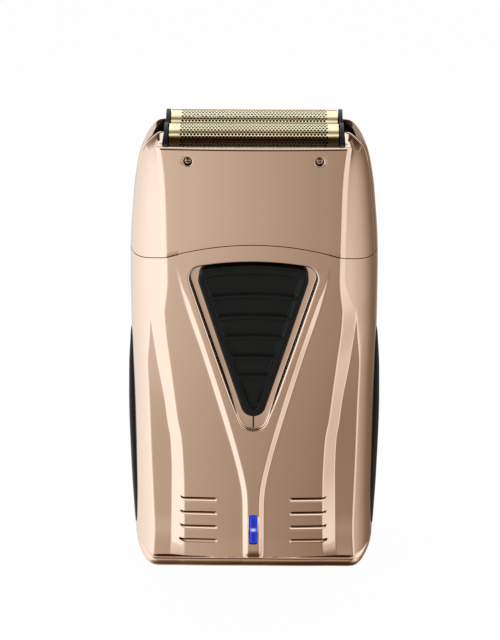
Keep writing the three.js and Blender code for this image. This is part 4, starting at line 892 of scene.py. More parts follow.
@dataclass(frozen=True, eq=False)
class Housing:
    """The outer form of the plated housing, in millimetres."""

    width: float = 60.0
    depth: float = 34.0
    gap: float = 0.2
    seam_gap: float = 0.16
    rim: float = 112.0
    front_drop: float = 0.8
    base_rim: float = 4.4
    base_corner: float = 6.0
    corner_reach: float = 4.0
    corner_inset: float = 2.4
    base_inset: float = 5.5
    rim_bulge: float = 0.4
    blade_tip: float = 68.0
    seam_apex: float = 88.5
    seam_drop: float = 3.2
    parting: float = -3.0
    widest: float = 2.0
    panel_half: float = 20.0
    crown: float = 0.6
    ridge_rise: float = 0.85
    ridge_tip: float = 82.5
    pad_proud: float = 0.3
    edge: float = 0.14
    seam_edge: float = 0.02
    rim_edge: float = 0.5
    chamfer: Flat = (0.4, 0.175)
    lip_chamfer: Flat = (0.64, 0.012)
    lip_foot: float = 0.2
    lip_flatness: float = 0.8
    soft_foot: Flat = (1.1, 0.62)
    soft_run: float = 12.0
    corner_rounds: tuple[tuple[float, int], ...] = ((0.2, 6), (0.25, 3), (0.3, 12), (0.2, 5))
    base_bladed: float = 0.65
    flank_start: Flat = (0.34, 0.05)
    leave_reach: Flat = (9.0, 0.5)
    leave_share: Flat = (0.55, 0.12)
    gap_growth: float = 0.6
    gap_foot: float = 103.5
    gap_run: float = 6.0
    wall: float = 1.8
    well_half_x: float = 21.0
    well_half_y: float = 11.35
    side_inset: Guide = Guide((
        (6, -0.2), (20, 0.03), (37, 0), (61.5, 0), (75, 0.1), (82.5, 0.3), (95, 1.3), (103, 2.2),
        (107, 3.15), (108.7, 4.1), (110.3, 5.7), (111.4, 7.1), (112, 8.0)))
    front_dip: Guide = Guide((
        (4.4, 1.85), (12, 0.85), (30, 0.2), (55, 0), (75, 0.35), (88.5, 0.95), (100, 1.95),
        (106, 2.65), (112, 3.35)))
    rear_dip: Guide = Guide((
        (4.4, 2.6), (20, 1.5), (60, 0.03), (85, 1.5), (100, 2.9), (110, 4.5), (112, 4.7)))
    crease_inset: Guide = Guide((
        (4.4, 2.8), (25, 3), (33.3, 2.8), (39, 2.45), (43.4, 1.7), (48.7, 1.15), (58.5, 0.1),
        (66.5, -0.8), (71.5, -1.05), (76, -0.5), (80, -0.2), (92, -0.35), (99, -0.45), (104.5, -0.7),
        (108, -1.05), (112, -1.6)))
    foot_inset: Guide = Guide((
        (4.4, 9.2), (10, 9.6), (20, 9.9), (30, 10.1), (36.6, 9.95), (41.7, 9.3), (47.2, 8.75),
        (57, 7.2), (66.5, 5.9)))
    outer_inset: Guide = Guide((
        (4.4, 4.9), (12, 5.3), (21.7, 5.15), (31.6, 4.95), (47, 4.75), (57, 4.55), (60, 4.65),
        (66.5, 5.15)))
    foot_depth: Guide = Guide((
        (4.4, 0.9), (9, 1.7), (16, 2.6), (28, 2.9), (36, 2.75), (47, 2.65), (57, 3.0), (66, 3.6)))
    shoulder_depth: Guide = Guide((
        (4.4, 0.9), (9, 1.8), (16, 2.8), (28, 3.15), (36, 3.0), (47, 2.9), (57, 3.2), (66, 3.65)))
    ridge_top: Guide = Guide((
        (4.4, 1.4), (20.3, 1.45), (23.7, 1.6), (27.1, 2.05), (33.8, 3.45), (40.4, 5.05), (46.9, 6.8),
        (53.3, 8.6), (62.7, 11.4), (68.8, 13.3), (71.9, 14.3), (75, 15.3), (78, 16.6), (82.5, 17.6)))
    ridge_foot: Guide = Guide((
        (4.4, 2.5), (20.3, 2.55), (23.7, 2.75), (27.1, 3.25), (33.8, 4.65), (40.4, 6.35), (46.9, 8.1),
        (53.3, 9.85), (62.7, 12.55), (68.8, 14.5), (71.9, 15.45), (75, 16.3), (78, 17.0), (82.5, 18.0)))
    ridge_fade: Guide = Guide((
        (4.8, 0.5), (6.5, 1), (58, 1), (66, 0.86), (72, 0.62), (76, 0.36), (79, 0.12), (82.5, 0.0)))
    squareness: Guide = Guide(((4.4, 2.8), (84, 3), (101, 4.2), (108, 5.5), (111, 9)))
    rear_taper: Guide = Guide((
        (98, 0), (101, 0.012), (104, 0.022), (107, 0.024), (110, 0.02), (112, 0.006)))

    def side(self, z: float) -> float:
        """Returns half the width at a height."""
        return self.width / 2 - self.side_inset(max(z, self.base_corner))

    def panel_y(self, x: float, z: float) -> float:
        """Returns the front panel's Y without the raised wedge."""
        front = -self.depth / 2 + self.pad_proud + self.ridge_rise
        return front + self.front_dip(z) + self.crown * (x / self.panel_half) ** 2

    def rise(self, z: float) -> float:
        """Returns how far the wedge stands out of the panel at a height."""
        if z <= self.base_rim or z >= self.ridge_tip:
            return 0.0
        return self.ridge_rise * self.ridge_fade(z)

    def wedge_y(self, x: float, z: float) -> float:
        """Returns the Y of the wedge's face, which carries the switch and the indicator."""
        return self.panel_y(x, z) - self.rise(z)

    def rear_y(self, z: float) -> float:
        """Returns the Y of the middle of the back at a height."""
        return self.depth / 2 - self.rear_dip(z)

    def back_y(self, x: float, z: float) -> float:
        """Returns the Y of the back's surface away from its middle."""
        power = self.squareness(z)
        share = min(abs(x) / self.side(z), 1.0)
        reach = self.rear_y(max(z, self.base_rim)) - self.widest
        return self.widest + reach * (1 - share ** power) ** (1 / power)

    def seam(self, x: float) -> float:
        """Returns the height of the seam between head and body."""
        return self.seam_apex - self.seam_drop * (x / self.panel_half) ** 2

    def drawn_in(self, z: float, reach: float, inset: float) -> float:
        """Returns how far a rounded edge has drawn in at a height below its reach."""
        if z >= reach:
            return 0.0
        return inset * (1 - math.sqrt(max(0.0, 1 - ((reach - z) / reach) ** 2)))

    def flank(self, shoulder: Flat, z: float) -> Callable[[float], Flat]:
        """Returns the curve from the shoulder round to the widest point."""
        side = self.side(z)
        pull = (shoulder[0] + 0.8 * (side - shoulder[0]), shoulder[1] + 0.3 * (self.widest - shoulder[1]))
        return lambda t: bow_point(shoulder, pull, (side, self.widest), t)

    def crowned(self, x: float, y: float, keys: Sequence[Flat]) -> Flat:
        """Bows a point of the panel's straight legs by the crown of the panel."""
        for low, high in zip(keys[:3], keys[1:4]):
            if low[0] <= x < high[0]:
                return x, y + self.crown * (x - low[0]) * (x - high[0]) / self.panel_half ** 2
        return x, y

    def share_at(self, curve: Callable[[float], Flat], y: float) -> float:
        """Returns the share of a flank curve at which it reaches a Y."""
        low, high = 0.0, 1.0
        for _ in range(24):
            middle = (low + high) / 2
            low, high = (middle, high) if curve(middle)[1] < y else (low, middle)
        return low

    def corners(self, z: float) -> list[Flat]:
        """Returns the corners of the right half of the front, from the middle to the shoulder."""
        held = max(z, self.base_rim)
        front, top, toe = self.panel_y(0, held), self.ridge_top(held), self.ridge_foot(held)
        x = self.panel_half - self.crease_inset(held)
        crease = (x, self.panel_y(x, held))
        across, back = self.chamfer if z > self.base_rim else self.lip_chamfer
        chamfer = (x + across * (self.side(z) - x), crease[1] + back * (self.widest - crease[1]))
        if z <= self.base_rim:
            foot = (x + self.soft_foot[0], crease[1] + self.lip_foot)
            lip = [(0.0, front), (top, front), (toe, front), crease, foot, chamfer]
            return [(u, blend(y, front, self.lip_flatness)) for u, y in lip]
        soft = (x + self.soft_foot[0], crease[1] + self.soft_foot[1])
        foot = between(between(crease, chamfer, 0.9), soft, ease((z - self.blade_tip) / self.soft_run))
        inner = (self.width / 2 - self.foot_inset(z), front + self.foot_depth(z))
        outer = (self.width / 2 - self.outer_inset(z), front + self.shoulder_depth(z))
        bladed = ease((self.blade_tip + 4.0 - z) / 7.0)
        return [
            (0.0, self.wedge_y(0, z)), (top, self.panel_y(top, held) - self.rise(z)),
            (toe, self.panel_y(toe, held)), crease,
            between(foot, inner, bladed), between(chamfer, outer, bladed),
        ]

    def gap_at(self, z: float) -> float:
        """Returns the width of the parting gap, which opens towards the rim."""
        return self.gap + self.gap_growth * ease((z - self.gap_foot) / self.gap_run)

    @lru_cache(maxsize=None)
    def front_half(self, z: float) -> tuple[Flat, ...]:
        """Samples the right half of the front at a height.

        Args:
            z: Height in millimetres.

        Returns:
            Points from the middle of the panel to the parting line.
        """
        keys = self.corners(z)
        shoulder = keys[-1]
        curve = self.flank(shoulder, z)
        last = self.share_at(curve, self.parting - self.gap_at(z) / 2)
        points: list[Flat] = []
        start = keys[0]
        for i, (radius, steps) in enumerate(self.corner_rounds):
            arc = corner_arc(*keys[i:i + 3], radius, 5)
            run = [between(start, arc[0], k / steps) for k in range(steps)]
            points.extend(self.crowned(x, y, keys) for x, y in run + arc[:-1])
            start = arc[-1]
        bladed = ease((self.blade_tip + 3.0 - z) / 14.0) if z > self.base_rim else self.base_bladed
        into = blend(*self.flank_start, bladed)
        reach = blend(*self.leave_reach, bladed) / max(math.dist(start, shoulder), TINY)
        leave = between(start, shoulder, 1 - min(blend(*self.leave_share, bladed), reach))
        points.extend(between(start, leave, k / 4) for k in range(4))
        first = curve(0.0)
        second = between(first, curve(1e-3), into * 500)
        join = curve(into)
        for k in range(10):
            t = k / 10
            points.append(tuple(
                (1 - t) ** 3 * leave[i] + 3 * t * (1 - t) ** 2 * first[i] + 3 * t * t * (1 - t) * second[i]
                + t ** 3 * join[i] for i in range(2)
            ))
        points.extend(curve(blend(into, last, k / 10)) for k in range(11))
        return tuple(self.drawn_at_base(points, z))

    @lru_cache(maxsize=None)
    def rear_half(self, z: float) -> tuple[Flat, ...]:
        """Samples the right half of the back at a height, from the parting line to the middle."""
        curve = self.flank(self.corners(z)[-1], z)
        first = self.share_at(curve, self.parting + self.gap_at(z) / 2)
        points = [curve(blend(first, 1.0, k / 6)) for k in range(6)]
        side, rear = self.side(z), self.rear_y(max(z, self.base_rim))
        power = 2 / self.squareness(max(z, self.base_rim))
        count = 34
        for k in range(count + 1):
            angle = k / count * math.pi / 2
            across = 0.0 if k == count else side * math.cos(angle) ** power
            points.append((across, self.widest + (rear - self.widest) * math.sin(angle) ** power))
        taper = self.rear_taper(z)
        points = [(x * (1 - taper * ease((y - self.parting - 1.0) / 9.0)), y) for x, y in points]
        return tuple(self.drawn_at_base(points, z))

    def drawn_at_base(self, points: Sequence[Flat], z: float) -> list[Flat]:
        """Draws a section in towards the rounded base."""
        side = self.side(z)
        across = self.drawn_in(z, self.corner_reach, self.corner_inset) / side ** 2
        bulge = self.rim_bulge if z <= self.base_rim else 0.0
        share = 1 - self.drawn_in(z, self.base_rim, self.base_inset) / abs(self.panel_y(0, self.base_rim))
        return [(x - across * x * x, y * share - (bulge * ease((-y - 8.0) / 3.0))) for x, y in points]


class Shells:
    """The four plated covers of head and body."""

    lip_start = 3.6
    lip_reach = 0.81
    lip_inset = 0.6
    clearance = 0.12
    rear_drop = 0.1
    rear_slant = 0.09
    edge_steps = ((0.3, 0.04), (0.7, 0.3), (1.0, 1.0))
    body_levels = (
        [3.6 * (1 - math.cos(k * math.pi / 20)) for k in range(10)]
        + [3.6, 3.85, 4.08, 4.25, 4.36, 4.4, 4.44, 4.6, 5.0, 5.5, 6.2, 7.2]
        + [8.4 + 1.2 * k for k in range(48)] + [66.0, 66.5, 67.0, 67.5, 68.0, 68.6]
        + [69.6 + 1.25 * k for k in range(14)] + [86.6, 87.3, 87.8]
    )

    def __init__(self, housing: Housing) -> None:
        """Keeps the housing's form."""
        self.housing = housing

    def bent(self, level: float, x: float, head: bool) -> float:
        """Returns the height of a row where it follows the curved seam."""
        form = self.housing
        drop = form.seam_drop * (x / form.panel_half) ** 2
        if head:
            return level - drop * (1 - ease((level - form.seam_apex) / 18.0))
        return level - drop * ease((level - 60.0) / (form.seam_apex - 60.0))

    def skin(self, level: float, front: bool, head: bool, inset: float = 0.0) -> list[Point]:
        """Samples one row of a cover's outer skin.

        Args:
            level: Height of the row at the middle.
            front: True for a front cover.
            head: True for a head cover.
            inset: Distance that the row has drawn in from the surface.

        Returns:
            The row's points, from the left parting edge to the right one.
        """
        form = self.housing
        half_at = form.front_half if front else form.rear_half
        flat = half_at(round(level, 3))
        heights = [self.bent(level, x, head) for x, _ in flat]
        if head:
            fall = ease((level - 100.0) / 12.0)
            for i, (_, y) in enumerate(flat):
                if front:
                    heights[i] -= fall * form.front_drop * ease((-y - 9.0) / 1.5)
                else:
                    slant = self.rear_slant * max(y - form.parting, 0.0)
                    heights[i] -= fall * (self.rear_drop + slant)
        half = [half_at(round(z, 3))[i] for i, z in enumerate(heights)]
        if inset:
            half = self.drawn(half, inset, front)
        if head:
            half = [self.outside_well(point) for point in half]
        half = self.edged(half, front)
        more = len(half) - len(heights)
        heights = heights + heights[-1:] * more if front else heights[:1] * more + heights
        right = [(x, y, z) for (x, y), z in zip(half, heights)]
        if not front:
            right.reverse()
        left = [(-x, y, z) for x, y, z in reversed(right[1:])]
        return left + right

    def outside_well(self, point: Flat) -> Flat:
        """Keeps a point of the head's section just outside the cassette's well."""
        form = self.housing
        wide, deep = form.well_half_x + self.clearance, form.well_half_y + self.clearance
        x, y = point
        if abs(x) >= wide or abs(y) >= deep:
            return point
        if wide - abs(x) < deep - abs(y):
            return wide, y
        return x, math.copysign(deep, y)

    def drawn(self, half: list[Flat], inset: float, front: bool) -> list[Flat]:
        """Moves a half section inwards along its own normals."""
        moved = []
        last = len(half) - 1
        for i, (x, y) in enumerate(half):
            before, after = half[max(i - 1, 0)], half[min(i + 1, last)]
            run = (after[0] - before[0], after[1] - before[1])
            length = math.hypot(*run) or 1.0
            moved.append((x - run[1] / length * inset, y + run[0] / length * inset))
        middle = 0 if front else last
        moved[middle] = (0.0, moved[middle][1])
        return moved

    def edged(self, half: list[Flat], front: bool) -> list[Flat]:
        """Rounds the edge of a half section at the parting line."""
        edge = self.housing.edge
        if front:
            (x0, y0), kept = half[-1], half[:-1]
            return kept + [(x0 - edge * s, y0 - edge * (1 - t)) for t, s in self.edge_steps]
        (x0, y0), kept = half[0], half[1:]
        return [(x0 - edge * s, y0 + edge * (1 - t)) for t, s in reversed(self.edge_steps)] + kept

    def inner_body(self, point: Point, front: bool) -> Point:
        """Returns the inner skin's point behind a point of a body cover."""
        x, y, z = point
        wall = self.housing.wall
        inward = wall * ease(abs(y - self.housing.parting) / 5.0)
        if front and y < -10.0:
            tray = RECESS.floor(z) + 1.1 - y
            inward = blend(inward, max(tray, inward), ease((RECESS.depth_inside(x, z) + 2.2) / 1.4))
        return x * (1 - wall / 30.0), y + (inward if front else -inward), max(z, wall)

    def inner_head(self, point: Point, front: bool) -> Point:
        """Returns the well's wall behind a point of a head cover."""
        form = self.housing
        x, y, z = point
        x = max(-form.well_half_x, min(x, form.well_half_x))
        return x, max(y, -form.well_half_y) if front else min(y, form.well_half_y), z

    def body(self, front: bool) -> Form:
        """Builds a body cover as a closed form."""
        form = self.housing
        centre_y = form.parting + (-form.gap / 2 if front else form.gap / 2)
        rows = []
        for level in self.body_levels:
            inset = 0.0
            if self.lip_start < level <= form.base_rim:
                share = (level - self.lip_start) / self.lip_reach
                inset = self.lip_inset * (1 - math.sqrt(max(0.0, 1 - share ** 2)))
            rows.append(self.skin(level, front, False, inset))
        top = form.seam_apex - form.seam_gap / 2
        edge = form.seam_edge
        for below, inset in ((edge, 0.0), (edge * 0.3, edge * 0.3), (0.0, edge)):
            rows.append(self.skin(top - below, front, False, inset))
        base = rows[0]
        for share in (0.75, 0.4, 0.0):
            rows.insert(0, [(x * share, centre_y + (y - centre_y) * share, 0.0) for x, y, _ in base])
        made = Form()
        last = len(rows) - 2
        inner = [[self.inner_body(point, front) for point in row] for row in rows]
        # The seam edge bands and the parting ends take the painted shade.
        made.plate(rows, inner, (last, last - 1))
        return made

    def head(self, front: bool) -> Form:
        """Builds a head cover as a closed form."""
        form = self.housing
        bottom = form.seam_apex + form.seam_gap / 2
        levels = [bottom + form.seam_edge] + [89.6 + 1.1 * k for k in range(16)]
        levels += [107.0, 107.8, 108.5, 109.1, 109.6, 110.1, 110.5, 110.9, 111.2, 111.45]
        edge = form.seam_edge
        rows = [self.skin(bottom, front, True, edge)]
        rows.append(self.skin(bottom + edge * 0.3, front, True, edge * 0.3))
        rows += [self.skin(level, front, True) for level in levels]
        radius = form.rim_edge
        for k in range(1, 7):
            angle = math.pi * k / 12
            level = form.rim - radius + radius * math.sin(angle)
            rows.append(self.skin(level, front, True, radius * (1 - math.cos(angle))))
        made = Form()
        # The seam edge bands and the parting ends take the painted shade.
        made.plate(rows, [[self.inner_head(point, front) for point in row] for row in rows], (0, 1))
        return made

    def build(self) -> None:
        """Makes the four covers and seats them."""
        for front, name in ((True, "head_front"), (False, "head_rear")):
            cover = Piece(f"{name}_shell", self.head(front), PLATING)
            cover.cut(self.head_screw_seats(front))
            if not front:
                cover.cut(self.finger_notches())
            cover.polish().seat("housing", "plated_plastic", f"{name}_cover")
        pockets = self.grip_pockets()
        front = Piece("body_front_shell", self.body(True), PLATING)
        front.cut(self.front_features()).cut(self.floor_slots()).cut(pockets)
        front.polish().seat("housing", "plated_plastic", "body_front_cover")
        rear = Piece("body_rear_shell", self.body(False), PLATING)
        rear.cut(self.rear_holes()).cut(pockets)
        rear.polish().seat("housing", "plated_plastic", "body_rear_cover")

    def front_features(self) -> Form:
        """Shapes the switch recess, the indicator slot and the grooves, with softened mouths and painted
        shade on their deep walls.
        """
        form, recess = self.housing, RECESS
        made = Form()
        rings = [
            [(u, recess.floor(w) - up, w) for u, w in recess.grown(grow).outline()]
            for grow, up in ((-0.3, 0.0), (-0.1, 0.04), (0.0, 0.15))
        ]
        edge, wide = recess.outline(), recess.grown(1.0).outline()
        for k in range(9):
            angle = math.pi * k / 16
            ring = []
            for inner, outer in zip(edge, wide):
                radius = 0.3 + 0.35 * ease((inner[1] - 43.0) / 8.0)
                u, w = between(inner, outer, radius * (1 - math.cos(angle)))
                surface = form.wedge_y(u, w)
                depth = min(radius, 0.7 * (recess.floor(w) - surface))
                ring.append((u, surface + depth * (1 - math.sin(angle)), w))
            rings.append(ring)
        for grow, depth in ((1.2, -0.06), (2.4, -1.6)):
            rings.append([(u, form.wedge_y(u, w) + depth, w) for u, w in recess.grown(grow).outline()])
        # The recess wall band takes the painted shade.
        made.capped(rings, (0.0, 68.0), recess.floor_point, recess.outside_point, (2,))
        slot = RoundedBox(1.04, 4.14, 0.6, 13.13)
        face = form.wedge_y(0, LIGHT.middle)
        mouth = ((0.0, 3.0), (0.0, 0.2), (0.04, 0.06), (0.12, 0.0), (0.3, -0.06), (1.0, -1.0))
        # The indicator slot's deepest band takes the painted shade.
        made.tube([
            [(u, face + depth, w) for u, w in slot.grown(grow).outline()] for grow, depth in mouth
        ], (0,))
        # The three deepest bands of each groove take the painted shade.
        for height in (21.6, 17.6, 13.6, 9.6):
            for side in (-1, 1):
                made.tube(self.groove(side, height), (0, 1, 2))
        return made

    def groove(self, side: int, z: float) -> list[list[Point]]:
        """Shapes one grip groove of the lower front.

        Args:
            side: 1 for the right side and -1 for the left one.
            z: Height of the middle of its floor.

        Returns:
            Rings from the floor outwards.
        """
        levels = (
            (0.28, 0.18, 1.30), (0.30, 0.18, 1.20), (0.31, 0.17, 0.62), (0.32, 0.16, 0.58),
            (0.53, -0.05, 0.09), (0.57, -0.07, 0.03), (0.63, -0.09, -0.03), (2.0, -0.4, -1.2),
        )
        outer_stops, inner_end, shallow_from = (16.5, 17.1, 17.6, 18.4), 9.5, 17.4
        rings = []
        for radius, shift, depth in levels:
            outline = [(u, z + shift - radius) for u in outer_stops]
            outline += [(u, z + shift + radius) for u in reversed(outer_stops)]
            outline += on_circle((inner_end, z + shift), radius, math.pi / 2, math.pi * 1.5, 12)
            rings.append([
                (side * u, self.housing.panel_y(u, max(w, 4.5))
                 + min(depth, 0.5 + 4.0 * max(shallow_from - u, 0.0)), w)
                for u, w in outline])
        return rings

    def floor_slots(self) -> Form:
        """Shapes the slot of the switch stem and the groove line of the recess floor."""
        made = Form()
        made.block((-1.8, -16.0, 50.6), (1.8, -9.0, 58.3))
        # The floor groove line's deepest band takes the painted shade.
        made.tube([[(x, RECESS.floor(z) + y, z) for z in (41.6, 43.0, 45.0, 47.0)]
                   + [(x, RECESS.floor(z) - 0.4, z) for z in (47.0, 45.0, 43.0, 41.6)]
                   for x, y in ((-0.17, 0.4), (0.17, 0.4))], (0,))
        return made

    def grip_pockets(self) -> Form:
        """Shapes the two pockets of the side grips."""
        made = Form()
        for side in (-1, 1):
            outline = GRIP.grown(0.22).outline()
            made.tube([[(side * x, y, z) for y, z in outline] for x in (28.9, 33.0)])
        return made

    def round_hole(self, x: float, z: float, radius: float, deep: float, front: bool) -> Form:
        """Shapes a round hole with a softened mouth, from the outside in."""
        form = self.housing
        mouth = ((0.0, 0.24), (0.03, 0.13), (0.1, 0.04), (0.22, 0.0), (0.4, -0.08), (2.0, -1.6))
        profile = [(0.0, deep), (radius, deep)]
        profile += [(radius + grow, depth) for grow, depth in mouth] + [(0.0, mouth[-1][1])]

        def place(point: Point) -> Point:
            """Follows the surface round the hole."""
            u, w = x + point[0], z + point[1]
            return u, form.panel_y(u, w) + point[2] if front else form.back_y(u, w) - point[2], w

        made = Form()
        # The hole's floor and wall take the painted shade.
        made.turned(profile, 40, place, (0, 1))
        return made

    def head_screw_seats(self, front: bool) -> Form:
        """Shapes the seats of the two small screws of a head cover."""
        made = Form()
        for x in (-HEAD_SCREW_X, HEAD_SCREW_X):
            made.join(self.round_hole(x, HEAD_SCREW_Z, 1.0, 1.1, front))
        return made

    def finger_notches(self) -> Form:
        """Shapes the notches at both ends of the cassette, which open forwards."""
        made = Form()
        for side in (-1, 1):
            rings = []
            for z, wide in ((105.6, 0.0), (108.5, 0.0), (110.2, 0.3), (113.5, 1.2)):
                rings.append([(side * 20.6, -1.0 - wide, z), (side * (23.5 + wide), -1.0 - wide, z),
                              (side * (21.0 + wide), 10.8 + wide, z), (side * 20.6, 10.8 + wide, z)])
            # The notch's deep bands take the painted shade.
            made.tube(rings, (0, 1))
        return made

    def rear_holes(self) -> Form:
        """Shapes the screw holes and the socket's hole of the rear body cover."""
        made = Form()
        for x in (-BODY_SCREW_X, BODY_SCREW_X):
            for z in BODY_SCREW_Z:
                made.join(self.round_hole(x, z, 2.3, 4.0, False))
        profile = [(0.0, 4.0), (2.6, 4.0), (2.6, 0.2), (2.72, 0.05), (2.9, -0.1), (2.9, -1.0), (0.0, -1.0)]
        made.turned(profile, 40, lambda p: (p[0], 0.9 + p[1], p[2]))
        return made


# Switch, indicator, grips and screws

class SwitchPad:
    """The thumb switch's rubber pad with a rim and bowed ribs."""

    bow = 2.75
    rows = (75.8, 70.6, 65.5, 60.3, 55.3)
    rib_half = 0.55
    rim = 2.05
    pocket = 0.75
    edge = 0.55
    wall = 0.38
    lift = 0.3

    def height(self, u: float, w: float) -> float:
        """Returns the real height of a grid point, whose rows are bowed like the ribs."""
        return w - self.bow * (u / 20.0) ** 2

    def half_width(self, w: float) -> float:
        """Returns how far a bowed row reaches to the outline."""
        low, high = 0.0, 18.0
        for _ in range(22):
            middle = (low + high) / 2
            inside = PAD.depth_inside(middle, self.height(middle, w)) > 0
            low, high = (middle, high) if inside else (low, middle)
        return low

    def surface(self, u: float, w: float) -> Point:
        """Returns the point of the pad's face over a grid point."""
        z = self.height(u, w)
        inside = max(PAD.depth_inside(u, z), 0.0)
        y = PAD.face(z)
        if inside < self.edge:
            y += self.edge - math.sqrt(self.edge ** 2 - (self.edge - inside) ** 2)
        half = self.wall / 2
        sunk = min(max((inside - self.rim + half) / self.wall, 0.0), 1.0)
        for row in self.rows:
            sunk = min(sunk, max((abs(w - self.lift - row) - self.rib_half + half) / self.wall, 0.0))
        return u, y + self.pocket * sunk, z

    def row_levels(self) -> list[float]:
        """Returns the rows' heights, dense at the ribs' edges."""
        levels = {
            45.02, 45.06, 45.15, 45.3, 45.5, 45.8, 46.2, 46.6, 46.87, 46.97, 47.16, 47.28, 47.4,
            81.0, 81.16, 81.25, 81.4, 81.53, 81.7, 82.3, 82.75, 83.0, 83.15, 83.3, 83.4, 83.47, 83.5,
        }
        for row in self.rows:
            for away in (0.0, 0.25, 0.34, 0.38, 0.55, 0.72, 0.76, 0.95):
                levels |= {round(row + self.lift + away, 3), round(row + self.lift - away, 3)}
        for k in range(68):
            level = 47.7 + 0.5 * k
            if min(abs(level - other) for other in levels) > 0.22:
                levels.add(level)
        return sorted(levels)

    def build(self) -> None:
        """Makes the pad."""
        stops = [0.0, 0.03, 0.09, 0.2, 0.36, 0.58, 0.9, 1.4, 1.95, 2.0, 2.2, 2.38, 2.44, 2.6]
        rows = []
        for w in self.row_levels():
            half = self.half_width(w)
            scale = min(1.0, half / 3.4)
            outer = [half - stop * scale for stop in stops]
            inner = [outer[-1] * (1 - k / 7) for k in range(1, 8)]
            right = list(reversed(outer + inner))
            rows.append([self.surface(u, w) for u in [-u for u in reversed(right[1:])] + right])
        back = [
            [(x, max(y + 0.3, min(PAD.face(z) + 2.45, RECESS.floor(z - 3.1) - 0.2)), z) for x, y, z in row]
            for row in rows
        ]
        made = Form()
        made.plate(rows, back)
        stem = Form()
        stem.block((-1.8, -16.0, 53.7), (1.8, -10.0, 58.3))
        Piece("thumb_pad", made, RUBBER, 50.0).cut(stem).seat("thumb_switch", "rubber", "switch_pad")


class Indicator:
    """The lit light guide low on the wedge."""

    def build(self, housing: Housing) -> None:
        """Makes the light guide with a domed face."""
        outline = RoundedBox(0.92, 3.95, 0.5, 13.2)
        face = housing.wedge_y(0.0, outline.middle)
        dome = ((0.0, 2.0), (0.0, 0.5), (-0.05, 0.38), (-0.15, 0.31), (-0.4, 0.24), (-0.6, 0.21),
                (-0.9, 0.2))
        made = Form()
        made.tube([
            [(u, face + depth, w) for u, w in outline.grown(grow).outline()] for grow, depth in dome
        ])
        Piece("light_guide", made, LIGHT).seat("housing", "lens", "indicator_lens")


class SideGrips:
    """The two rubber strips that swell out of the sides."""

    swell = Guide(((5.5, 0.0), (10, 0.3), (20, 0.78), (37, 1), (50, 0.75), (60, 0.1)))
    edge = 0.6
    floor = 29.2
    proud = 0.12
    bulge = 1.085
    middle = 3.85
    reach = 6.2

    def __init__(self, housing: Housing) -> None:
        """Keeps the housing's form."""
        self.housing = housing

    def side_x(self, y: float, z: float) -> float:
        """Returns the X of the housing's side at a Y."""
        form = self.housing
        if y >= form.widest:
            power = form.squareness(z)
            share = min((y - form.widest) / (form.rear_y(z) - form.widest), 1.0)
            return form.side(z) * (1 - share ** power) ** (1 / power)
        curve = form.flank(form.corners(z)[-1], z)
        return curve(form.share_at(curve, y))[0]

    def build(self) -> None:
        """Makes both grips."""
        heights = [GRIP.bottom + s for s in (0.0, 0.03, 0.1, 0.22, 0.4, 0.7, 1.1, 1.6, 2.2, 3.0, 4.0)]
        heights += [10.6 + 1.1 * k for k in range(41)]
        heights += [GRIP.top - s for s in (4.2, 3.2, 2.4, 1.7, 1.1, 0.7, 0.4, 0.22, 0.1, 0.03, 0.0)]
        shares = [0.0, 0.004, 0.014, 0.03, 0.055, 0.1, 0.16, 0.24, 0.33, 0.42, 0.5]
        shares += [1 - s for s in reversed(shares[:-1])]
        for name, side in (("left", -1), ("right", 1)):
            rows = []
            for z in heights:
                front, rear = GRIP.edges(z)
                row = []
                for share in shares:
                    y = blend(front, rear, share)
                    inside = min(y - front, rear - y, z - GRIP.bottom, GRIP.top - z)
                    reach = max(0.0, 1 - ((y - self.middle) / self.reach) ** 4)
                    x = self.side_x(y, z) + self.proud + self.bulge * self.swell(z) * reach
                    held = min(max(inside, 0.0), self.edge)
                    x -= self.edge - math.sqrt(self.edge ** 2 - (self.edge - held) ** 2)
                    row.append((side * max(x, self.floor + 0.05), y, z))
                rows.append(row)
            made = Form()
            made.plate(rows, [[(side * self.floor, y, z) for _, y, z in row] for row in rows])
            Piece(f"side_strip_{name}", made, RUBBER, 45.0).seat("housing", "rubber", f"grip_{name}")


@dataclass(frozen=True)
class ScrewPair:
    """Two slotted screws side by side, whose heads look along Y."""

    name: str
    z: float
    spread: float = 2 * BODY_SCREW_X
    seat: float = 13.15
    head: float = 2.0
    depth: float = 1.6
    shank: float = 1.0
    length: float = 9.6
    side: int = 1
    finish: Finish = STEEL

    def build(self) -> None:
        """Makes one screw and repeats it with Geometry Nodes."""
        dome = ((0.96, 0.0), (0.95, 0.66), (0.82, 0.8), (0.55, 0.94), (0.25, 0.99), (0.0, 1.0))
        profile = [(0.0, -self.length), (self.shank, -self.length + self.shank), (self.shank, 0.0),
                   (self.head * dome[0][0], 0.0), (self.head, 0.05), (self.head, self.depth * 0.5)]
        profile += [(self.head * out, self.depth * up) for out, up in dome[1:]]
        made = Form()
        made.turned(profile, 28, lambda p: (p[0], self.side * p[2], self.side * p[1]))
        slot = Form()
        slot.block((-self.head * 0.8, self.side * self.depth * 0.5, -self.head * 0.16),
                   (self.head * 0.8, self.side * 2.0, self.head * 0.16))
        screws = Piece(self.name, made, self.finish, 30.0).cut(slot)
        screws.repeat(repeat_tree(False), columns=2, rows=1, column_pitch=self.spread * MM)
        node = self.name.replace("screws", "screw")
        screws.move(y=self.seat, z=self.z).seat("housing", "steel", f"{node}_left", f"{node}_right")


# Cassette and cutters

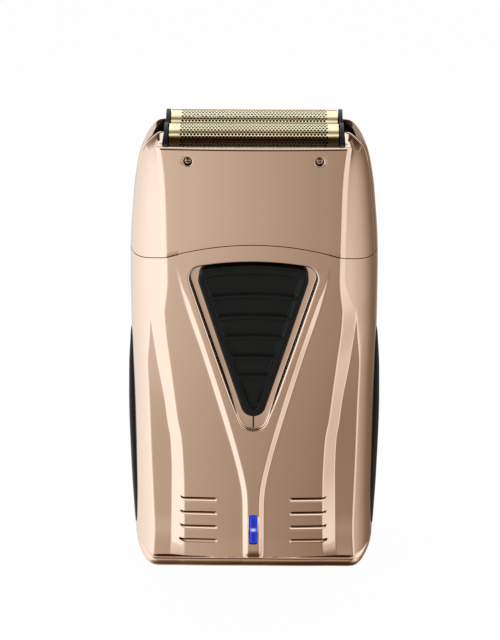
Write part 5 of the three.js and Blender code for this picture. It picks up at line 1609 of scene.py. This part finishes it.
@dataclass(frozen=True)
class Foil:
    """One perforated foil, rolled over an axis along X."""

    radius: float = 4.7
    sheet: float = 0.12
    axis_z: float = 110.0
    half_length: float = 19.5
    skirt: float = 104.3
    columns: int = 43
    rows: int = 21
    pitch: float = 0.79
    row_pitch: float = 0.63
    hole: float = 0.31

    def cell(self) -> Form:
        """Builds one cell of the sheet with its opening."""
        made = Form()
        half, tall = self.pitch / 2, self.row_pitch / 2
        border = [(half, 0), (half, tall), (0, tall), (-half, tall), (-half, 0), (-half, -tall),
                  (0, -tall), (half, -tall)]
        turn = [math.pi / 4 * k for k in range(8)]
        opening = [(self.hole * math.cos(a), self.hole * 0.92 * math.sin(a)) for a in turn]
        loops = ((border, 0.0), (opening, 0.0), (opening, -self.sheet), (border, -self.sheet))
        made.grid([[(x, y, depth) for x, y in loop] for loop, depth in loops], ring=True)
        return made

    def rolled(self, x: float, along: float, depth: float) -> Point:
        """Rolls a point of the flat sheet, which runs on straight below the half circle."""
        angle = along / self.radius
        quarter = math.pi / 2
        if abs(angle) <= quarter:
            reach = self.radius - depth
            return x, reach * math.sin(angle), reach * math.cos(angle)
        down = (abs(angle) - quarter) * self.radius
        return x, math.copysign(self.radius - depth, angle), -down

    def border(self) -> Form:
        """Builds the plain ends and skirts of the sheet round the cells."""
        made = Form()
        field = self.rows * self.row_pitch / 2
        quarter = math.pi / 2 * self.radius
        lines = [-field + self.row_pitch * k for k in range(self.rows + 1)]
        below = [quarter + self.axis_z - self.skirt, quarter, blend(field, quarter, 0.5)]
        for depth in (0.0, self.sheet):
            for r in range(self.rows):
                for side in (-1, 1):
                    shift = ((r % 2) - 0.5) * 0.5 * self.pitch
                    inner = side * self.columns * self.pitch / 2 + shift
                    other = inner - 2 * shift
                    stops = [inner, other] if (other - inner) * side > 0 else [inner]
                    line = stops + [side * self.half_length]
                    made.add([self.rolled(x, lines[r], depth) for x in line]
                             + [self.rolled(x, lines[r + 1], depth) for x in reversed(line)],
                             [tuple(range(2 * len(line)))])
            for side in (-1, 1):
                runs = [side * s for s in below] + [side * field]
                xs = [-self.half_length, self.half_length]
                made.grid([[self.rolled(x, run, depth) for x in xs] for run in runs])
        for side in (-1, 1):
            runs = [-s for s in below] + lines + [s for s in reversed(below)]
            x = side * self.half_length
            made.grid([[self.rolled(x, run, depth) for run in runs] for depth in (0.0, self.sheet)])
            edge = side * below[0]
            made.grid([[self.rolled(x, edge, depth) for x in (-self.half_length, self.half_length)]
                       for depth in (0.0, self.sheet)])
        return made

    def build(self, name: str, node: str, y: float) -> None:
        """Makes a foil at a Y."""
        sheet = Piece(name, self.cell(), GOLD, 60.0)
        sheet.repeat(repeat_tree(True), columns=self.columns, rows=self.rows,
                     column_pitch=self.pitch * MM, row_pitch=self.row_pitch * MM, stagger=0.5,
                     radius=self.radius * MM)
        sheet.absorb(self.border())
        sheet.move(y=y, z=self.axis_z).seat("foil_cassette", "gold_foil", node)


class Cassette:
    """The black frame that holds both foils."""

    foil = Foil()
    foil_y = 5.0

    def cap(self, x0: float, x1: float) -> Form:
        """Builds an end cap with two humps between two X positions."""
        outer, top, radius, valley = 11.05, 111.3, 4.86, 0.35
        axis_z = self.foil.axis_z
        start = math.asin((top - axis_z) / radius)
        outline = [(-outer, 102.2), (outer, 102.2), (outer, top)]
        outline += on_circle((self.foil_y, axis_z), radius, start, math.pi - valley, 24)
        outline += on_circle((-self.foil_y, axis_z), radius, valley, math.pi - start, 24)
        outline.append((-outer, top))
        made = Form()
        made.tube([[(x, y, z) for y, z in outline] for x in (x0, x1)])
        return made

    def build(self) -> None:
        """Makes the frame and both foils."""
        bars = Form()
        half, bottom = 20.25, 102.35
        for side in (-1, 1):
            bars.block((-half, side * 10.0, bottom), (half, side * 10.9, 111.15))
            bars.block((-half, side * 9.4, bottom + 0.01), (half, side * 10.9, 104.0))
        bars.block((-half, -0.6, bottom), (half, 0.6, 104.0))
        frame_piece = Piece("cassette_frame", bars, BLACK)
        notches = Form()
        for x in (-15.1, 15.1):
            for side in (-1, 1):
                notches.block((x - 2.1, side * 5.0, 101.9), (x + 2.1, side * 11.35, 110.2))
        frame_piece.cut(notches)
        for side in (-1, 1):
            frame_piece.absorb(self.cap(*sorted((side * 19.8, side * 20.7))))
        frame_piece.bevel(0.14)
        frame_piece.seat("foil_cassette", "dark_plastic", "foil_frame")
        self.foil.build("foil_sheet_front", "foil_front", -self.foil_y)
        self.foil.build("foil_sheet_rear", "foil_rear", self.foil_y)


class Cutters:
    """The two combs of blades under the foils, with their springs."""

    outer = 4.1
    inner = 2.8
    foot = 108.2
    axis_z = 110.0
    half_length = 17.0
    half_blade = 0.16
    teeth = 34
    pitch = 0.99
    foot_top = -0.45
    spring_foot = 103.15
    coil_radius = 2.25
    coil_height = 2.9
    wire_radius = 0.2

    def blade(self) -> Form:
        """Builds one arched blade."""
        loops = []
        for radius in (self.outer, self.inner):
            ring = [(radius, self.foot - self.axis_z)]
            ring += on_circle((0.0, 0.0), radius, 0.0, math.pi, 20)
            ring.append((-radius, self.foot - self.axis_z))
            loops.append(ring)
        made = Form()
        made.plate(*([[(x, y, z) for y, z in loop] for loop in loops]
                     for x in (-self.half_blade, self.half_blade)))
        return made

    def build(self) -> None:
        """Makes both combs and both springs."""
        for name, y in (("front", -Cassette.foil_y), ("rear", Cassette.foil_y)):
            # The combs take the near-black blade finish, which paints the shade under the foils.
            comb = Piece(f"blades_{name}", self.blade(), SHADE_DARK_BLADE, 40.0)
            comb.repeat(repeat_tree(False), columns=self.teeth, rows=1, column_pitch=self.pitch * MM)
            feet = Form()
            for side in (-1, 1):
                feet.block((-self.half_length, side * self.inner, self.foot - self.axis_z),
                           (self.half_length, side * self.outer, self.foot_top))
            comb.absorb(feet)
            comb.move(y=y, z=self.axis_z).seat(f"{name}_cutter", "steel", f"cutter_{name}")
            spring = Piece(f"coil_{name}", feet, STEEL, 60.0)
            spring.repeat(coil_tree(), turns=3.0, coil_radius=self.coil_radius * MM,
                          coil_height=self.coil_height * MM, wire_radius=self.wire_radius * MM)
            spring.move(y=y, z=self.spring_foot)
            spring.seat("oscillator", "steel", f"cutter_spring_{name}")
            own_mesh(spring.item)


# What stays of the solids

class InnerWorks:
    """The solids inside the housing, dressed as they are."""

    finishes = {
        "darkplastic": BLACK, "rubber": RUBBER, "steel": STEEL, "brass": BRASS, "paleplastic": NATURAL,
        "board": BOARD, "cell": CELL,
    }

    def build(self) -> None:
        """Gives every solid that is still shown a worked finish in place of its flat colour."""
        for item in bpy.data.objects:
            if item.type != "MESH" or item.hide_render:
                continue
            for slot in item.material_slots:
                known = slot.material.name.split(".")[0] if slot.material else ""
                finish = self.finishes.get(known.lower().replace("_", ""))
                if finish:
                    slot.link = "OBJECT"
                    slot.material = finish.material()
                    log.info("%s: %s", item.name, slot.material.name)


# Studio

class Studio:
    """Camera, lights, floor and white surroundings."""

    camera_place = (4.457, -445.248, 261.173)
    camera_fall = 24.0
    camera_turn = 0.7
    sensor = 36.0
    focal = 112.5

    def camera(self) -> None:
        """Places the camera as the photo's was."""
        data = bpy.data.cameras.new("camera")
        data.sensor_fit = "AUTO"
        data.sensor_width = self.sensor
        data.lens = self.focal
        data.clip_start = 0.01
        data.clip_end = 20.0
        item = placed("camera", data)
        item.location = Vector(self.camera_place) * MM
        item.rotation_euler = (math.radians(90 - self.camera_fall), 0.0, math.radians(self.camera_turn))
        bpy.context.scene.camera = item

    def panel_light(self, name: str, place: Point, target: Point, size: Flat, radiance: float) -> None:
        """Adds a rectangular soft white light.

        Args:
            name: Name of the light.
            place: Its middle in millimetres.
            target: The point that it looks at.
            size: Its width and height in millimetres.
            radiance: Brightness of its surface, where white is 1.
        """
        data = bpy.data.lights.new(name, "AREA")
        data.shape = "RECTANGLE"
        data.size, data.size_y = size[0] * MM, size[1] * MM
        data.energy = radiance * math.pi * data.size * data.size_y
        item = placed(name, data)
        item.location = Vector(place) * MM
        item.rotation_euler = (Vector(target) - Vector(place)).to_track_quat("-Z", "Y").to_euler()
        item.visible_glossy = False

    # Reflected levels: round the shaver, up over the front, and down, by the sine of the fall
    surround_stops = (
        (-180, 0.6), (-168, 0.72), (-154, 0.86), (-130, 0.98), (-100, 1.1), (-72, 1.15), (-40, 1.13),
        (-27, 1.0), (-15, 0.74), (-8, 0.64), (0, 0.51), (8, 0.39), (14, 0.34), (24, 0.40), (34, 0.80),
        (48, 0.92), (66, 0.92), (76, 0.84), (88, 0.66), (104, 0.56), (124, 0.38), (140, 0.22),
        (154, 0.18), (166, 0.36), (180, 0.6),
    )
    sky_stops = (
        (0, 0.45), (6, 0.09), (20, 0.045), (44, 0.02), (54, 0.1), (60, 0.5), (64, 1.05), (69, 1.05),
        (74, 0.5), (83, 0.26), (91, 0.45), (99, 0.95), (108, 1.1), (164, 1.1), (169, 0.05),
        (176, 0.05), (180, 0.5),
    )
    fall_stops = (
        (0.0, 1.0), (0.24, 1.0), (0.37, 0.92), (0.49, 0.8), (0.63, 0.76), (0.75, 0.8), (0.91, 0.3),
        (1.0, 0.08),
    )
    beside_stops = ((0, 0.0), (26, 0.0), (42, 1.0), (180, 1.0))
    beside_fall_stops = ((0.0, 1.0), (0.6, 1.0), (0.76, 0.9), (0.9, 0.3), (1.0, 0.08))
    brightest = 1.2
    far = 30000.0
    warmth = (1.0, 1.22, 1.42)
    floor_half = 3000.0
    floor_drop = 0.1
    floor_white = 0.975
    shade_white = 0.6

    def level(self, wires: Wiring, stops: Sequence[Flat], source: Socket) -> Socket:
        """Adds a ramp of grey levels.

        Args:
            wires: The tree's wiring.
            stops: Places and levels, from the first place to the last one.
            source: The socket that the ramp reads, in the units of the places.

        Returns:
            The socket with the level.
        """
        first, span = stops[0][0], stops[-1][0] - stops[0][0]
        share = wires.math("DIVIDE", wires.math("SUBTRACT", source, first), span)
        greys = [((place - first) / span, (level / self.brightest,) * 3 + (1.0,)) for place, level in stops]
        return wires.math("MULTIPLY", wires.ramp(share, greys), self.brightest)

    def surround(self) -> None:
        """Hangs a large shell that only reflections see, with flags and bright cards all round."""
        made = Form()
        angles = [2 * math.pi * i / 64 for i in range(64)]
        rings = []
        for k in range(1, 48):
            fall = math.pi * (k / 48 - 0.5)
            out, up = self.far * math.cos(fall), self.far * math.sin(fall)
            rings.append([(out * math.sin(a), -out * math.cos(a), up) for a in angles])
        made.tube(rings)
        item = placed("surround", made.mesh("surround"))
        item.data.materials.append(self.glow())
        item.visible_camera = False
        item.visible_diffuse = False
        item.visible_shadow = False

    def glow(self) -> bpy.types.Material:
        """Makes the shell's light, whose level follows the direction that it is seen in.

        Returns:
            A material that warms as it darkens. Below the horizon its level follows the
            direction round the shaver and how steep it is. Above, it follows the pitch over
            the front.
        """
        glow = bpy.data.materials.new("surround_glow")
        wires, nodes = wired(glow)
        nodes.remove(nodes["Principled BSDF"])
        x, y, z = wires.parts(wires.place())
        forward = wires.math("MULTIPLY", y, -1.0)
        turn = wires.math("MULTIPLY", wires.math("ARCTAN2", x, forward), 180 / math.pi)
        pitch = wires.math("MULTIPLY", wires.math("ARCTAN2", z, forward), 180 / math.pi)
        steep = wires.math("MAXIMUM", wires.math("DIVIDE", z, -self.far * MM), 0.0)
        beside = wires.math("MULTIPLY", self.level(wires, self.beside_stops, wires.math("ABSOLUTE", turn)),
                            self.level(wires, self.beside_fall_stops, steep))
        fall = wires.math("MAXIMUM", self.level(wires, self.fall_stops, steep), beside)
        around = self.level(wires, self.surround_stops, turn)
        below = wires.math("MULTIPLY", around, fall)
        aside = wires.math("DIVIDE", wires.math("SUBTRACT", wires.math("ABSOLUTE", x), 10.5), 10.5)
        aside = wires.math("MULTIPLY", wires.math("MINIMUM", aside, 1.0), around)
        sky = self.level(wires, self.sky_stops, wires.math("MAXIMUM", pitch, 0.0))
        over = wires.math("GREATER_THAN", z, 0.0)
        level = wires.math("ADD", wires.math("MULTIPLY", wires.math("MAXIMUM", sky, aside), over),
                           wires.math("MULTIPLY", below, wires.math("SUBTRACT", 1.0, over)))
        warm = wires.fed("ShaderNodeCombineXYZ", {
            channel: wires.math("POWER", level, power) for channel, power in enumerate(self.warmth)})
        wires.feed(nodes["Material Output"], {
            "Surface": wires.fed("ShaderNodeEmission", {"Color": warm})})
        return glow

    def floor(self) -> None:
        """Lays a pale floor that reads as white to the camera and keeps a faint shadow."""
        mesh = bpy.data.meshes.new("floor")
        half = self.floor_half * MM
        corners = ((-half, -half, 0.0), (half, -half, 0.0), (half, half, 0.0), (-half, half, 0.0))
        mesh.from_pydata(corners, [], [(0, 1, 2, 3)])
        item = placed("floor", mesh)
        item.location.z = -self.floor_drop * MM
        item.visible_glossy = False
        made = bpy.data.materials.new("pale_floor")
        wires, nodes = wired(made)
        shader = nodes["Principled BSDF"]
        wires.feed(shader, {"Base Color": (0.8, 0.8, 0.8, 1.0), "Roughness": 0.6})
        white = wires.fed("ShaderNodeEmission", {})
        seen, _ = self.seen(wires)
        mixed = wires.fed("ShaderNodeMixShader", {
            0: wires.math("MULTIPLY", seen, self.floor_white), 1: shader.outputs[0], 2: white})
        wires.feed(nodes["Material Output"], {"Surface": mixed})
        mesh.materials.append(made)

    @staticmethod
    def seen(wires: Wiring) -> tuple[Socket, Socket]:
        """Returns the marks of rays that should meet white, and of glossy rays."""
        path = wires.node("ShaderNodeLightPath").outputs
        seen = wires.math("MAXIMUM", path["Is Camera Ray"], path["Is Transmission Ray"])
        return seen, path["Is Glossy Ray"]

    def world(self) -> None:
        """Sets surroundings that are white to the camera and softer as a light."""
        made = bpy.data.worlds.new("white_surroundings")
        wires, nodes = wired(made)
        seen, glossy = self.seen(wires)
        white = wires.math("MULTIPLY", wires.math("MAXIMUM", seen, glossy), 1.0 - self.shade_white)
        level = wires.math("ADD", white, self.shade_white)
        wires.feed(nodes["Background"], {"Strength": level, "Color": (1.0, 1.0, 1.0, 1.0)})
        bpy.context.scene.world = made

    def build(self) -> None:
        """Sets up the whole studio."""
        self.camera()
        self.floor()
        self.world()
        self.panel_light("left_softbox", (-420, -160, 260), (0, 0, 60), (300, 380), 1.2)
        self.panel_light("right_softbox", (420, -120, 240), (0, 0, 60), (220, 320), 0.9)
        self.panel_light("top_softbox", (0, 120, 560), (0, 0, 60), (420, 420), 1.3)
        self.panel_light("front_softbox", (0, -620, 190), (0, 0, 80), (500, 200), 1.0)
        self.surround()


def main() -> None:
    """Builds the shaver and its studio."""
    logging.basicConfig(level=logging.INFO, format="%(message)s")
    bpy.context.scene.view_settings.view_transform = "Standard"
    housing = Housing()
    Shells(housing).build()
    SwitchPad().build()
    Indicator().build(housing)
    SideGrips(housing).build()
    for screws in (
        ScrewPair("head_screws_front", HEAD_SCREW_Z, 2 * HEAD_SCREW_X,
                  housing.panel_y(HEAD_SCREW_X, HEAD_SCREW_Z) + 0.9, 0.86, 0.7, 0.5, 1.5, -1, ROSE_STEEL),
        ScrewPair("head_screws_rear", HEAD_SCREW_Z, 2 * HEAD_SCREW_X, housing.rear_y(HEAD_SCREW_Z) - 0.9,
                  0.95, 0.7, 0.5, 1.0),
        ScrewPair("body_screws_low", BODY_SCREW_Z[0]),
        ScrewPair("body_screws_high", BODY_SCREW_Z[1]),
    ):
        screws.build()
    Cassette().build()
    Cutters().build()
    InnerWorks().build()
    Studio().build()


if __name__ == "__main__":
    main()
